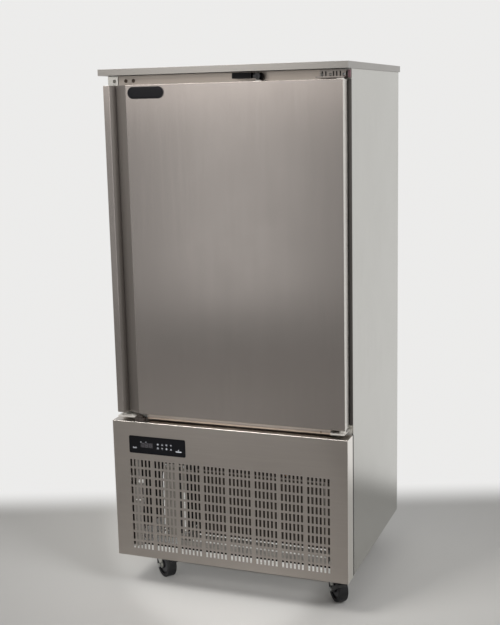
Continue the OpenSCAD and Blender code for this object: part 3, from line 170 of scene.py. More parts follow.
def mill_stainless(name, colour, rough=0.24):
    """Stainless sheet left with its 2B mill finish: greyer and cloudier than brushed sheet, with no grain lines."""
    material, tree, shader, place = begin(name)
    cloud = spots(tree, place, 30, 5.0, 0.65)
    base = linear(colour)
    return dress(material, shader, {"Base Color": between(tree, cloud, times(base, 0.97), base),
                                    "Roughness": spread(tree, cloud, rough - 0.015, rough + 0.02), "Metallic": 1.0},
                 spots(tree, place, 2500, 2.0), 0.2, 0.03)


def blasted_stainless(name, colour, rough=0.42):
    """Thick stainless plate blasted with glass beads: pale, even and half matt, with a fine pebbled face."""
    material, tree, shader, place = begin(name)
    cloud = spots(tree, place, 60, 4.0)
    base = linear(colour)
    return dress(material, shader, {"Base Color": between(tree, cloud, times(base, 0.9), base),
                                    "Roughness": spread(tree, cloud, rough - 0.05, rough + 0.08), "Metallic": 0.45},
                 spots(tree, place, 2200, 2.0), 0.3, 0.04)


def galvanised(name, colour, spangle_mm=11.0, metallic=0.55):
    """Hot-dip galvanised sheet: frosty zinc crystals a centimetre across, each with its own grey and gloss."""
    material, tree, shader, place = begin(name)
    wander = add(tree, "ShaderNodeTexNoise", {"Vector": place, "Scale": 90.0}).outputs[1]
    shift = add(tree, "ShaderNodeVectorMath", {0: wander, "Scale": 0.006}, operation="SCALE").outputs[0]
    warp = add(tree, "ShaderNodeVectorMath", {0: place, 1: shift}, operation="ADD").outputs[0]
    crystal = add(tree, "ShaderNodeTexVoronoi", {"Vector": warp, "Scale": 1000 / spangle_mm}).outputs["Color"]
    shade = add(tree, "ShaderNodeSeparateColor", {0: crystal}).outputs[0]
    base = linear(colour)
    return dress(material, shader, {"Base Color": between(tree, shade, times(base, 0.8), base),
                                    "Roughness": spread(tree, shade, 0.38, 0.56, 0.0, 1.0), "Metallic": metallic},
                 shade, 0.3, 0.04)


def zinc_plated(name, colour="#B9BDC0", rough=0.34):
    """Bright zinc plating on pressed steel: blue-grey with faint straw tints and dull patches where it was handled."""
    material, tree, shader, place = begin(name)
    tint = spots(tree, place, 55, 3.0, 0.6, twist=0.4)
    shade = between(tree, spread(tree, tint, 0.0, 1.0), linear(colour), linear("#B7B5AD"))
    gloss = spread(tree, spots(tree, place, 140, 4.0), rough - 0.08, rough + 0.12)
    return dress(material, shader, {"Base Color": shade, "Roughness": gloss, "Metallic": 1.0}, tint, 0.2, 0.05)


def moulded_plastic(name, colour, rough=0.45, grain_mm=0.7, depth_mm=0.03, ior=1.53):
    """Injection-moulded plastic: a fine spark-eroded grain from the tool, with gloss that varies a little with flow."""
    material, tree, shader, place = begin(name)
    flow = spots(tree, place, 20, 3.0)
    base = linear(colour)
    return dress(material, shader, {"Base Color": between(tree, flow, times(base, 0.9), times(base, 1.1)),
                                    "Roughness": spread(tree, flow, rough - 0.05, rough + 0.06), "IOR": ior},
                 spots(tree, place, 1000 / grain_mm, 2.0), 0.35, depth_mm)


def printed_film(name, colour, rough=0.28):
    """Back-printed polyester film on the control plate: deep even black under a satin face with faint dust."""
    material, tree, shader, place = begin(name)
    dust = spots(tree, place, 900, 2.0, 0.7)
    shade = between(tree, spread(tree, dust, 0.0, 0.25, 0.62, 0.8), linear(colour), linear("#5A5A5A"))
    gloss = spread(tree, spots(tree, place, 60, 4.0), rough - 0.06, rough + 0.08)
    return dress(material, shader, {"Base Color": shade, "Roughness": gloss, "IOR": 1.3}, dust, 0.1, 0.02)


def enamel(name, colour, rough=0.30, peel_mm=2.5):
    """Sprayed stoving enamel: slight orange peel that wobbles the highlights, and dust in cloudy patches."""
    material, tree, shader, place = begin(name)
    cloud = spots(tree, place, 25, 4.0)
    base = linear(colour)
    shade = between(tree, spread(tree, cloud, 0.0, 0.5), base, times(base, 1.5, 0.004))
    return dress(material, shader, {"Base Color": shade, "Roughness": spread(tree, cloud, rough - 0.06, rough + 0.12)},
                 spots(tree, place, 1000 / peel_mm, 1.0), 0.25, 0.06)


def rubber(name, colour, rough=0.62):
    """Moulded rubber: matt, with a grey bloom on worn places and fine pitting."""
    material, tree, shader, place = begin(name)
    bloom = spots(tree, place, 70, 5.0, 0.65)
    base = linear(colour)
    shade = between(tree, spread(tree, bloom, 0.0, 1.0), base, times(base, 1.4, 0.003))
    gloss = spread(tree, bloom, rough - 0.08, rough + 0.10)
    return dress(material, shader, {"Base Color": shade, "Roughness": gloss, "IOR": 1.4},
                 spots(tree, place, 1400, 2.0), 0.4, 0.06)


def fin_stock(name, colour, pitch_mm, rough=0.35, metallic=0.85):
    """Thin aluminium fins on edge: fine upright stripes at the fins' spacing, with the gaps between them darkened as
    painted shade.
    """
    material, tree, shader, place = begin(name)
    # The wave pattern turns 20 radians a unit, so this scale gives one fin and one gap a pitch.
    stripe = add(tree, "ShaderNodeTexWave", {"Vector": place, "Scale": 1000 / pitch_mm * math.pi / 10,
                                             "Distortion": 0.15, "Detail": 1.0, "Detail Scale": 3.0},
                 bands_direction="X").outputs[0]
    lint = spots(tree, place, 45, 5.0, 0.6)
    base = linear(colour)
    # Painted shade: the gaps between fins are darkened to a fifth of the fins' colour.
    fin = between(tree, stripe, times(base, 0.22), base)
    shade = between(tree, spread(tree, lint, 0.0, 0.35), fin, linear("#6B665F"))
    gloss = spread(tree, lint, rough - 0.05, rough + 0.15)
    return dress(material, shader, {"Base Color": shade, "Roughness": gloss, "Metallic": metallic}, stripe, 0.6, 0.4)


def drawn_copper(name):
    """Drawn copper tube: warm and bright, with brown oxide blooms from brazing."""
    material, tree, shader, place = begin(name)
    oxide = spots(tree, place, 40, 5.0, 0.6)
    shade = between(tree, spread(tree, oxide, 0.0, 1.0, 0.45, 0.75), linear("#D08C62"), linear("#6E4630"))
    return dress(material, shader, {"Base Color": shade, "Roughness": spread(tree, oxide, 0.24, 0.5), "Metallic": 1.0},
                 spots(tree, place, 600, 2.0, stretch=(1, 1, 0.1)), 0.15, 0.04)


def cut_foam(name):
    """Rigid polyurethane foam: straw-coloured, matt and open-celled where it was cut."""
    material, tree, shader, place = begin(name)
    cell = add(tree, "ShaderNodeTexVoronoi", {"Vector": place, "Scale": 700.0}).outputs[0]
    shade = between(tree, spots(tree, place, 12, 4.0), linear("#D9C38B"), linear("#C7A866"))
    return dress(material, shader, {"Base Color": shade, "Roughness": 0.85}, cell, 0.5, 0.3)


FINISHES = {
    "worktop_steel": brushed_stainless("worktop_brushed_stainless", "#9A9793", 0.32, "X", 0.3, 0.1, 0.02),
    "case_steel": brushed_stainless("case_brushed_stainless", "#C1C0BB", 0.22, "Z", 0.5, 0.08, 0.02),
    "front_steel": brushed_stainless("front_brushed_stainless", "#ABA49E", 0.29, "X", 0.4, 0.1, 0.02, fold_mm=401.3),
    "door_steel": brushed_stainless("door_brushed_stainless", "#A9A29D", 0.24, "Z", 0.65, 0.1, 0.02, 388.9,
                                    (-311.2, -322.7)),
    "inner_steel": mill_stainless("lining_mill_stainless", "#C6C6C4"),
    "galvanised": galvanised("galvanised_sheet", "#DADCDC"),
    "foam": cut_foam("polyurethane_foam"),
    "breaker_plastic": moulded_plastic("extruded_grey_abs", "#58585A", 0.5, 1.2, 0.02),
    "fascia_plastic": printed_film("fascia_polyester_film", "#050509", 0.34),
    "housing_plastic": moulded_plastic("housing_black_abs", "#2A2A2C", 0.5),
    "display_glass": printed_film("smoked_polycarbonate_window", "#343335", 0.2),
    "key_plastic": printed_film("key_polyester_dome", "#09090D", 0.36),
    "black_enamel": enamel("compressor_black_enamel", "#141415", 0.26),
    "fin_aluminium": fin_stock("evaporator_aluminium_fins", "#B9BBBC", 8.0),
    "dark_fins": fin_stock("condenser_coated_fins", "#54493F", 3.0, 0.5, 0.3),
    "copper": drawn_copper("drawn_copper_tube"),
    "fan_plastic": moulded_plastic("fan_glass_filled_nylon", "#232325", 0.48, 0.9),
    "motor_metal": enamel("motor_grey_cast_aluminium", "#55585A", 0.42, 1.2),
    "box_paint": enamel("electrical_box_powder_coat", "#86827B", 0.45, 0.9),
    "gland_nylon": moulded_plastic("gland_black_nylon", "#1E1E1F", 0.42),
    "gasket_rubber": rubber("gasket_soft_pvc", "#4A4744", 0.5),
    "white_nylon": moulded_plastic("bush_white_nylon", "#E4E3DE", 0.4),
    "bracket_steel": blasted_stainless("bracket_blasted_stainless", "#E4E1DB"),
    "buffer_rubber": rubber("buffer_moulded_rubber", "#2E2824"),
    "lock_plastic": moulded_plastic("lock_black_nylon", "#09080C", 0.5, 0.8, ior=1.32),
    "lock_metal": mill_stainless("lock_nickel_plate", "#CFCBC4", 0.16),
    "zinc": zinc_plated("zinc_plated_steel"),
    "wheel_rubber": rubber("wheel_black_rubber", "#121214", 0.5),
    "pedal_plastic": moulded_plastic("pedal_black_nylon", "#1A1A1B", 0.42),
}

rail_steel = brushed_stainless("rail_rough_brushed_stainless", "#C6BDB4", 0.44, "X", 0.2, 0.1)
# A paler, less metallic copy of the galvanised sheet for the base frame and the condenser foot: partly pale zinc,
# partly painted light that makes these faces read as brightly lit.
zinc_with_painted_light = galvanised("galvanised_sheet_with_painted_light", "#F2F1EE", 8.0, 0.2)
OWN_FINISH = {"header_rail": rail_steel, "sill_rail": rail_steel, "base_frame": zinc_with_painted_light,
              "unit_tray": galvanised("tray_galvanised_sheet", "#A9A6A0", 9.0),
              # The top hinge bracket's stainless is darkened, a painted shadow of the worktop above it.
              "hinge_bracket_top": mill_stainless("top_bracket_stainless_painted_shadow", "#8F8984", 0.3),
              "lock_barrel": enamel("lock_blackened_zinc", "#1A191D", 0.3, 1.0)}

for row in frame["record"]["subparts"]:
    node = NODES[row["node"]]
    finish = OWN_FINISH.get(row["node"], FINISHES[row["material_slot"]])
    for held in node.material_slots:
        held.material = finish
    if not node.material_slots:
        node.data.materials.append(finish)

# Sheet and plate edges are broken slightly, as a folded or deburred edge is, so that they catch the light.
EDGE_MM = {"worktop": 0.25, "door_skin": 0.6, "side_panel_left": 0.5, "side_panel_right": 0.5,
           "header_rail": 0.5, "sill_rail": 0.5, "hinge_bracket_top": 0.5, "hinge_bracket_bottom": 0.6,
           "spare_hinge_bracket": 0.6, "control_fascia": 0.3, "lock_housing": 0.8, "cover_buffer": 0.8,
           "electrical_box": 0.6, "unit_tray": 0.5, "base_frame": 0.5, "lock_striker": 0.3, "lock_barrel": 0.4,
           "cable_gland": 0.5, "caster_plates": 0.5}
EDGE_MM.update({f"fork_{corner}": 0.6 for corner in CASTERS})
SHALLOW_EDGES = {"door_skin": 20}
SHARP_DEG = 35
for name, width in EDGE_MM.items():
    weld = NODES[name].modifiers.new("weld", "WELD")
    weld.merge_threshold = 0.01 * MM
    edge = NODES[name].modifiers.new("edge", "BEVEL")
    edge.width, edge.segments, edge.limit_method = width * MM, 2, "ANGLE"
    edge.angle_limit = math.radians(SHALLOW_EDGES.get(name, SHARP_DEG))
    edge.use_clamp_overlap = edge.harden_normals = True


# ------------------------------------------------------------------ making pieces
def finish_piece(bm, name, body, slot, material=None, smooth_deg=SHARP_DEG):
    """Turns a bmesh in millimetres into a piece that rides on its body with the slot's finish."""
    bmesh.ops.scale(bm, vec=(MM, MM, MM), verts=bm.verts)
    bmesh.ops.recalc_face_normals(bm, faces=bm.faces)
    mesh = bpy.data.meshes.new(name)
    bm.to_mesh(mesh)
    bm.free()
    made = bpy.data.objects.new(name, mesh)
    bpy.context.scene.collection.objects.link(made)
    mesh.materials.append(material or FINISHES[slot])
    mesh.shade_smooth()
    mesh.set_sharp_from_angle(angle=math.radians(smooth_deg))
    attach(made, body)


def join_rings(bm, rings):
    """Faces between each ring of points and the next, with the first and the last ring closed."""
    for low, high in zip(rings, rings[1:]):
        for i in range(len(low)):
            j = (i + 1) % len(low)
            bm.faces.new((low[i], low[j], high[j], high[i]))
    bm.faces.new(list(reversed(rings[0])))
    bm.faces.new(rings[-1])


def turned(bm, profile, at, axis, sides=32):
    """A lathe-turned form: profile is (radius, height) pairs from the seat outward along axis."""
    turn = Vector((0, 0, 1)).rotation_difference(Vector(axis)).to_matrix().to_4x4()
    place = Matrix.Translation(Vector(at)) @ turn
    rings = []
    for radius, height in profile:
        if radius < 1e-6:
            rings.append([bm.verts.new(place @ Vector((0, 0, height)))])
            continue
        rings.append([bm.verts.new(place @ Vector((radius * math.cos(2 * math.pi * i / sides),
                                                   radius * math.sin(2 * math.pi * i / sides), height)))
                      for i in range(sides)])
    for low, high in zip(rings, rings[1:]):
        for i in range(sides):
            j = (i + 1) % sides
            if len(low) == 1:
                bm.faces.new((low[0], high[j], high[i]))
            elif len(high) == 1:
                bm.faces.new((low[i], low[j], high[0]))
            else:
                bm.faces.new((low[i], low[j], high[j], high[i]))
    if len(rings[0]) > 1:
        bm.faces.new(reversed(rings[0]))
    if len(rings[-1]) > 1:
        bm.faces.new(rings[-1])


def slab(bm, low, high, edge):
    """A flat bar between two corners with its edges broken."""
    centre = [(a + b) / 2 for a, b in zip(low, high)]
    size = [b - a for a, b in zip(low, high)]
    made = bmesh.ops.create_cube(bm, size=1.0, matrix=Matrix.Translation(centre) @ Matrix.Diagonal((*size, 1.0)))
    edges = list({e for v in made["verts"] for e in v.link_edges})
    bmesh.ops.bevel(bm, geom=edges, offset=edge, segments=2, profile=0.6, affect="EDGES")


def outline_plate(bm, points, y_back, y_front, dome=0.0):
    """A plate whose outline in X and Z is given, from its back face to its front face, which may be domed."""
    rings = [[bm.verts.new((x, y, z)) for x, z in points] for y in (y_back, y_front)]
    cx, cz = (sum(p[i] for p in points) / len(points) for i in (0, 1))
    for share, rise in ((0.92, 0.6), (0.7, 0.9)) if dome else ():
        rings.append([bm.verts.new((cx + (x - cx) * share, y_front - dome * rise, cz + (z - cz) * share))
                      for x, z in points])
    join_rings(bm, rings)


def pill(cx, cz, width, height, steps=14):
    """The outline of a bar with round ends."""
    r, points = height / 2, []
    for side, start in ((1, -90), (-1, 90)):
        for i in range(steps + 1):
            a = math.radians(start + 180 * i / steps)
            points.append((cx + side * (width / 2 - r) + r * math.cos(a), cz + r * math.sin(a)))
    return points


def tube(bm, points, radius, sides=12, round_mm=0.0):
    """A round tube or wire along points, with its corners rounded."""
    path = [Vector(p) for p in points]
    if round_mm:
        soft = [path[0]]
        for a, b, c in zip(path, path[1:], path[2:]):
            into, out = (b - a), (c - b)
            cut = min(round_mm, into.length * 0.48, out.length * 0.48)
            start, end = b - into.normalized() * cut, b + out.normalized() * cut
            for i in range(7):
                t = i / 6
                soft.append(start * (1 - t) ** 2 + b * 2 * t * (1 - t) + end * t * t)
        path = soft + [path[-1]]
    rings, up = [], None
    for i, p in enumerate(path):
        ahead = (path[min(i + 1, len(path) - 1)] - path[max(i - 1, 0)]).normalized()
        if up is None:
            up = ahead.orthogonal().normalized()
        up = (up - ahead * up.dot(ahead)).normalized()
        side = ahead.cross(up)
        rings.append([bm.verts.new(p + radius * (up * math.cos(2 * math.pi * k / sides)
                                                 + side * math.sin(2 * math.pi * k / sides))) for k in range(sides)])
    join_rings(bm, rings)


PAN_HEAD = ((4.4, 0.0), (4.4, 0.5), (4.0, 1.6), (2.9, 2.4), (1.5, 2.7), (1.2, 1.2), (0, 1.2))


def hex_head(bm, at, axis, across=13.0, high=5.3):
    """A hexagon bolt head with its chamfered top and a washer face."""
    r = across / math.sqrt(3)
    turned(bm, ((across * 0.62, 0), (across * 0.62, 1.2), (r * 0.9, 1.3)), at, axis, 24)
    start = Vector(at) + Vector(axis).normalized() * 1.25
    turned(bm, ((r, 0), (r, high - 1.0), (r * 0.82, high)), start, axis, 6)


# ------------------------------------------------------------------ fasteners
bm = bmesh.new()
for x in SCREW_XS:
    turned(bm, PAN_HEAD, (x, BRACKET_FRONT, TOP_SCREW_Z), (0, -1, 0), 24)
    turned(bm, PAN_HEAD, (x, BRACKET_FRONT, LOW_SCREW_Z), (0, -1, 0), 24)
    turned(bm, PAN_HEAD, (-x, BRACKET_FRONT, LOW_SCREW_Z), (0, -1, 0), 24)
finish_piece(bm, "hinge_screws", "cabinet", "zinc")

bm = bmesh.new()
for x in (-392.0, 392.0):
    for i in range(8):
        turned(bm, PAN_HEAD, (x, BACK, 150 + i * 214), (0, 1, 0), 20)
for x in (-260.0, -130.0, 0.0, 130.0, 260.0):
    turned(bm, PAN_HEAD, (x, BACK, 1684), (0, 1, 0), 20)
    turned(bm, PAN_HEAD, (x, BACK, 124), (0, 1, 0), 20)
finish_piece(bm, "back_panel_screws", "cabinet", "zinc")

bm = bmesh.new()
for x, y, _ in CASTERS.values():
    for bx in (-40, 40):
        for by in (-30, 30):
            hex_head(bm, (x + bx, y + by, PLATE_UNDERSIDE), (0, 0, -1))
finish_piece(bm, "caster_bolts", "cabinet", "zinc")

# ------------------------------------------------------------------ header, hinges and sill
brown_plastic = moulded_plastic("plug_brown_polyethylene", "#5A473A", 0.45)
bm = bmesh.new()
for x in SCREW_XS[1:]:
    turned(bm, ((5.8, 0), (5.8, 0.6), (5.0, 1.5), (3.4, 2.2), (1.6, 2.5), (0, 2.6)), (-x, FRAME_FRONT, TOP_SCREW_Z),
           (0, -1, 0), 28)
finish_piece(bm, "header_hole_plugs", "cabinet", "lock_plastic", brown_plastic)

bm = bmesh.new()
turned(bm, ((5.4, 0), (5.4, 0.6), (4.9, 1.8), (3.4, 2.5), (1.7, 2.7), (1.4, 1.4), (0, 1.4)),
       (-SCREW_XS[0], FRAME_FRONT, TOP_SCREW_Z), (0, -1, 0), 28)
finish_piece(bm, "header_post_screw", "cabinet", "zinc", zinc_plated("weathered_zinc_screw", "#6B6966", 0.4))

# Black painted shade in the seam where the post meets the header, and in the slots that let the top hinge bracket be
# shifted.
gap_painted_shade = rubber("gap_black_painted_shade", "#1B1917", 0.7)
bm = bmesh.new()
slab(bm, (-364.4, -267.5, 1667.0), (-362.2, -266.9, 1693.0), 0.2)
SLOT_Z, SLOT_RADIUS, SLOT_REACH = 1682.5, 2.1, 6.5
for x in (312.0, 322.5, 346.0, 356.0, 367.0, 386.0):
    turns = [(i * math.pi / 6, SLOT_REACH if 0 < i < 6 else -SLOT_REACH if i > 6 else 0) for i in range(12)]
    outline_plate(bm, [(x + SLOT_RADIUS * math.cos(a), SLOT_Z + reach + SLOT_RADIUS * math.sin(a))
                       for a, reach in turns], BRACKET_FRONT, BRACKET_FRONT - 0.25)
finish_piece(bm, "hinge_slots_and_seam_painted_shade", "cabinet", "gasket_rubber", gap_painted_shade)

bm = bmesh.new()
slab(bm, (391.0, -277.0, 1671.0), (398.5, -268.0, 1694.0), 1.2)
finish_piece(bm, "hinge_corner_cap", "cabinet", "gasket_rubber",
             moulded_plastic("cap_mauve_polyethylene", "#7A5A60", 0.45))

# Drip ledge folded up along the back of the cover's top, just under the door.
bm = bmesh.new()
LEDGE = [(-298.0, 605.8), (-308.5, 605.8), (-311.2, 604.9), (-312.5, 602.6), (-312.6, 596.5), (-312.2, 593.0),
         (-310.6, 589.8), (-307.5, 587.0), (-302.0, 585.0)]
LEDGE_SHEET = 1.2
inner = [(y + LEDGE_SHEET, z if i else z - LEDGE_SHEET) for i, (y, z) in enumerate(LEDGE)]
join_rings(bm, [[bm.verts.new((x, y, z)) for y, z in LEDGE + inner[::-1]] for x in (-287.0, 341.0)])
finish_piece(bm, "drip_ledge", "cabinet", "front_steel",
             brushed_stainless("ledge_brushed_stainless", "#A0978F", 0.36, "X", 0.3, 0.1))

bm = bmesh.new()
turned(bm, ((4.6, 0), (4.6, 0.8), (3.6, 1.8), (1.4, 2.2), (0, 2.2)), (309.0, -310.6, 596.5), (0, -1, 0), 24)
for x, y in ((351.5, -313.0), (366.0, -313.5)):
    turned(bm, ((4.0, 0), (4.0, 0.35), (3.1, 0.7), (1.8, 0.7), (1.5, 0.2), (0, 0.2)), (x, y, 598.0), (0, 0, 1), 24)
finish_piece(bm, "sill_plugs", "cabinet", "lock_plastic", brown_plastic)

bm = bmesh.new()
turned(bm, ((18.5, 0), (18.5, 9.0), (17.6, 10.6), (15.4, 11.2), (13.4, 10.6), (12.6, 3.0), (11.6, 3.0)),
       (-309.0, -320.0, 584.2), (0, 0, 1), 40)
finish_piece(bm, "buffer_cup", "cabinet", "buffer_rubber", rubber("cup_brown_rubber", "#322B27", 0.55))

# Black painted shade in the gap between the cover's sides and the side panels.
bm = bmesh.new()
for side in (-1, 1):
    low, high = sorted((side * 397.0, side * 401.3))
    slab(bm, (low, -280.6, 117.0), (high, -267.4, 582.5), 0.5)
finish_piece(bm, "cover_side_painted_shade_strips", "cabinet", "gasket_rubber", gap_painted_shade)

# The cover's rolled top fold, which catches a thin line of light; its colour is paler than the cover's sheet, as a
# painted highlight.
bm = bmesh.new()
tube(bm, [(-400.6, -338.3, 583.3), (400.6, -338.3, 583.3)], 1.0, 16)
finish_piece(bm, "cover_top_fold", "cabinet", "front_steel", mill_stainless("fold_stainless_painted_highlight", "#E4E0DA", 0.25))

# ------------------------------------------------------------------ door: rolled edge of the finger pull
bm = bmesh.new()
ROLL_EDGE = [(-370.0, -323.1), (-367.2, -322.9), (-364.8, -322.0), (-362.6, -320.3), (-360.8, -317.8), (-359.3, -314.0),
             (-358.2, -308.5), (-357.2, -301.0), (-357.6, -300.9), (-367.4, -322.6), (-370.0, -322.8)]
join_rings(bm, [[bm.verts.new((x, y, z)) for x, y in ROLL_EDGE] for z in (609.2, 1665.8)])
finish_piece(bm, "pull_rolled_edge", "door", "door_steel", smooth_deg=50)

# ------------------------------------------------------------------ door: blank badge
BADGE = (-242.5, 1642.8, 124.5, 38.5)
bm = bmesh.new()
outline_plate(bm, pill(*BADGE), DOOR_FRONT, DOOR_FRONT - 1.4, 0.5)
finish_piece(bm, "badge_rim", "door", "lock_metal", mill_stainless("badge_rim_nickel", "#7A7573", 0.34))
bm = bmesh.new()
outline_plate(bm, pill(BADGE[0], BADGE[1], BADGE[2] - 2.6, BADGE[3] - 2.6), DOOR_FRONT - 1.0, DOOR_FRONT - 2.3, 0.6)
finish_piece(bm, "badge_face", "door", "fascia_plastic", printed_film("badge_charcoal_film", "#0B0A0F", 0.36))

# ------------------------------------------------------------------ control plate: generic marks, no words
pale_ink = printed_film("fascia_pale_ink", "#A9ACB3", 0.4)
grey_ink = printed_film("display_unlit_segment", "#4C494F", 0.3)
INK_BACK, INK_FRONT = FASCIA_FRONT + 0.1, FASCIA_FRONT - 0.02
bm = bmesh.new()
for index, x in enumerate(KEY_XS):
    for row, z in enumerate(KEY_ZS):
        kind = (index + 2 * row) % 4
        if kind == 0:
            outline_plate(bm, pill(x, z, 6.0, 6.0, 8), INK_BACK, INK_FRONT)
        elif kind == 1:
            outline_plate(bm, [(x - 3.2, z - 2.3), (x + 3.2, z - 2.3), (x, z + 2.9)], INK_BACK, INK_FRONT)
        elif kind == 2:
            for rise in (1.4, -1.4):
                outline_plate(bm, pill(x, z + rise, 6.6, 1.7, 4), INK_BACK, INK_FRONT)
        else:
            outline_plate(bm, [(x - 3.0, z + 2.2), (x, z - 3.0), (x + 3.0, z + 2.2)], INK_BACK, INK_FRONT)
for x, z, wide, high in ((-324.0, 496.0, 14.5, 3.2), (-328.4, 498.2, 4.2, 3.6), (-319.8, 498.2, 4.2, 3.6),
                         (-166.0, 495.2, 21.0, 4.4), (-301.0, 517.5, 5.0, 2.4), (-283.0, 518.2, 4.2, 2.0)):
    outline_plate(bm, pill(x, z, wide, high, 6), INK_BACK, INK_FRONT)
outline_plate(bm, [(-169.0, 498.8), (-163.0, 498.8), (-166.0, 503.4)], INK_BACK, INK_FRONT)
finish_piece(bm, "control_marks", "cabinet", "key_plastic", pale_ink)

# Three unlit figures of seven segments each, leaning a little to the right.
SEGMENTS = [(0, z, 2.6, 0.6) for z in (6, 0, -6)] + [(x, z, 0.6, 2.1) for z in (3, -3) for x in (-3.6, 3.6)]
DISPLAY_Z, LEAN = 507.5, 0.12
bm = bmesh.new()
for middle in (-293.8, -280.3, -266.8):
    for across, up, half_x, half_z in SEGMENTS:
        x, z = middle + across + LEAN * up, DISPLAY_Z + up
        outline_plate(bm, [(x - half_x, z - half_z), (x + half_x, z - half_z), (x + half_x, z + half_z),
                           (x - half_x, z + half_z)], INK_BACK, INK_FRONT)
finish_piece(bm, "display_segments", "cabinet", "display_glass", grey_ink)

# ------------------------------------------------------------------ machine compartment, seen through the slots
bm = bmesh.new()
slab(bm, (-190.5, -151.2, 367.5), (274.0, -149.4, 373.5), 0.3)
slab(bm, (269.0, -151.2, 140.0), (273.0, -149.4, 367.3), 0.3)
slab(bm, (-306.0, -169.6, 368.0), (-190.5, -167.4, 374.0), 0.3)
finish_piece(bm, "condenser_flanges", "cabinet", "galvanised", galvanised("dulled_galvanised_sheet", "#8C8780", 6.0))

# The condenser foot and stiffeners take the paler zinc with painted light.
bm = bmesh.new()
slab(bm, (-190.5, -151.2, 134.0), (274.0, -149.4, 139.8), 0.3)
slab(bm, (-190.0, -198.2, 128.7), (286.0, -196.6, 136.0), 0.3)
slab(bm, (-190.0, -196.8, 128.7), (286.0, -180.0, 130.0), 0.3)
slab(bm, (-234.0, -171.5, 150.0), (-225.5, -167.4, 300.0), 0.5)
slab(bm, (-345.0, -300.8, 117.5), (346.0, -299.2, 139.5), 0.3)
slab(bm, (-345.0, -336.5, 117.5), (346.0, -299.2, 118.7), 0.3)
finish_piece(bm, "condenser_foot_and_stiffeners", "cabinet", "galvanised", zinc_with_painted_light)

bm = bmesh.new()
slab(bm, (-248.0, -173.0, 141.0), (-240.0, -167.4, 380.0), 0.8)
finish_piece(bm, "box_cable_duct", "cabinet", "gland_nylon")

bm = bmesh.new()
tube(bm, [(-309.0, y, z) for y, z in ((-160.0, 128.0), (-160.0, 352.0), (-120.0, 372.0), (-60.0, 372.0))], 4.2, 14, 18)
finish_piece(bm, "box_conduit", "cabinet", "white_nylon", moulded_plastic("conduit_white_pvc", "#F3F2EE", 0.5))

# Cables from the control plate, tied in a loose bundle behind the left end of the cover.
bm = bmesh.new()
for index, (dx, dy, sag) in enumerate(((0, 0, 0), (7, -5, 9), (13, 3, -6), (4, 8, 14))):
    way = ((-338, -309, 492), (-344 + sag * 0.4, -300, 410), (-332 - sag * 0.5, -297, 330),
           (-341 + sag * 0.5, -301, 240), (-334, -296, 165), (-322, -262, 150 + index * 3),
           (-296, -180, 150 + index * 5))
    tube(bm, [(x + dx, y + dy, z) for x, y, z in way], 2.7, 10, 40)
finish_piece(bm, "control_cables", "cabinet", "housing_plastic", moulded_plastic("cable_grey_pvc", "#8A8682", 0.5))

bm = bmesh.new()
slab(bm, (-334.0, -306.0, 362.0), (-316.0, -297.0, 374.0), 1.0)
slab(bm, (-345.0, -308.0, 300.0), (-324.0, -291.0, 303.5), 0.8)
finish_piece(bm, "cable_connector_and_ties", "cabinet", "white_nylon")

# Flat trunking that takes the cables down to the tray.
bm = bmesh.new()
slab(bm, (-351.5, -304.5, 138.0), (-330.0, -296.0, 350.0), 1.2)
for z in (170.0, 230.0, 290.0, 345.0):
    slab(bm, (-352.6, -305.6, z), (-329.0, -295.4, z + 3.0), 0.6)
finish_piece(bm, "cable_trunking", "cabinet", "white_nylon", moulded_plastic("trunking_grey_pvc", "#8F8B85", 0.5))

# Black sheets as painted shade on the inner face of the left side panel, beside the condenser, and in front of the
# tray.
bm = bmesh.new()
slab(bm, (-398.8, -262.0, 131.0), (-396.8, 96.0, 556.0), 0.3)
slab(bm, (-355.0, -266.4, 127.1), (355.0, -252.8, 128.4), 0.2)
slab(bm, (-224.9, -165.0, 141.0), (-222.9, 32.0, 382.0), 0.3)
finish_piece(bm, "compartment_painted_shade", "cabinet", "gasket_rubber", rubber("black_shade_paint", "#100D0C", 0.9))

# Dark grey painted shade on the post beside the hinge side of the door, in the gap next to the door.
bm = bmesh.new()
slab(bm, (389.2, -268.2, 612.0), (399.3, -267.1, 1668.0), 0.3)
finish_piece(bm, "hinge_post_painted_shade", "cabinet", "breaker_plastic", moulded_plastic("hinge_gap_grey_painted_shade", "#4C4845", 0.5))

bm = bmesh.new()
for x in (-298.0, -231.0):
    for z in (141.0, 262.0, 382.0):
        turned(bm, PAN_HEAD, (x, BOX_FRONT, z), (0, -1, 0), 18)
finish_piece(bm, "box_lid_screws", "cabinet", "zinc")

# ------------------------------------------------------------------ casters: hub covers and axle nuts
for corner, (x, y, degrees) in CASTERS.items():
    a = math.radians(degrees)
    centre = Vector((x - math.sin(a) * CASTER_TRAIL, y + math.cos(a) * CASTER_TRAIL, WHEEL_RADIUS))
    axle = Vector((math.cos(a), math.sin(a), 0.0))
    bm = bmesh.new()
    for side in (-1, 1):
        turned(bm, ((27.5, 0), (27.0, 1.6), (22.0, 2.6), (14.0, 3.0), (11.5, 5.2), (5.2, 5.4)),
               centre + axle * side * 9.6, axle * side, 40)
    finish_piece(bm, f"hub_covers_{corner}", f"wheel_{corner}", "wheel_rubber",
                 moulded_plastic(f"hub_grey_nylon_{corner}", "#3C3C3F", 0.4))
    bm = bmesh.new()
    for side in (-1, 1):
        hex_head(bm, centre + axle * side * 22.1, axle * side, 13.0, 6.0)
    finish_piece(bm, f"axle_nuts_{corner}", f"fork_{corner}", "zinc")

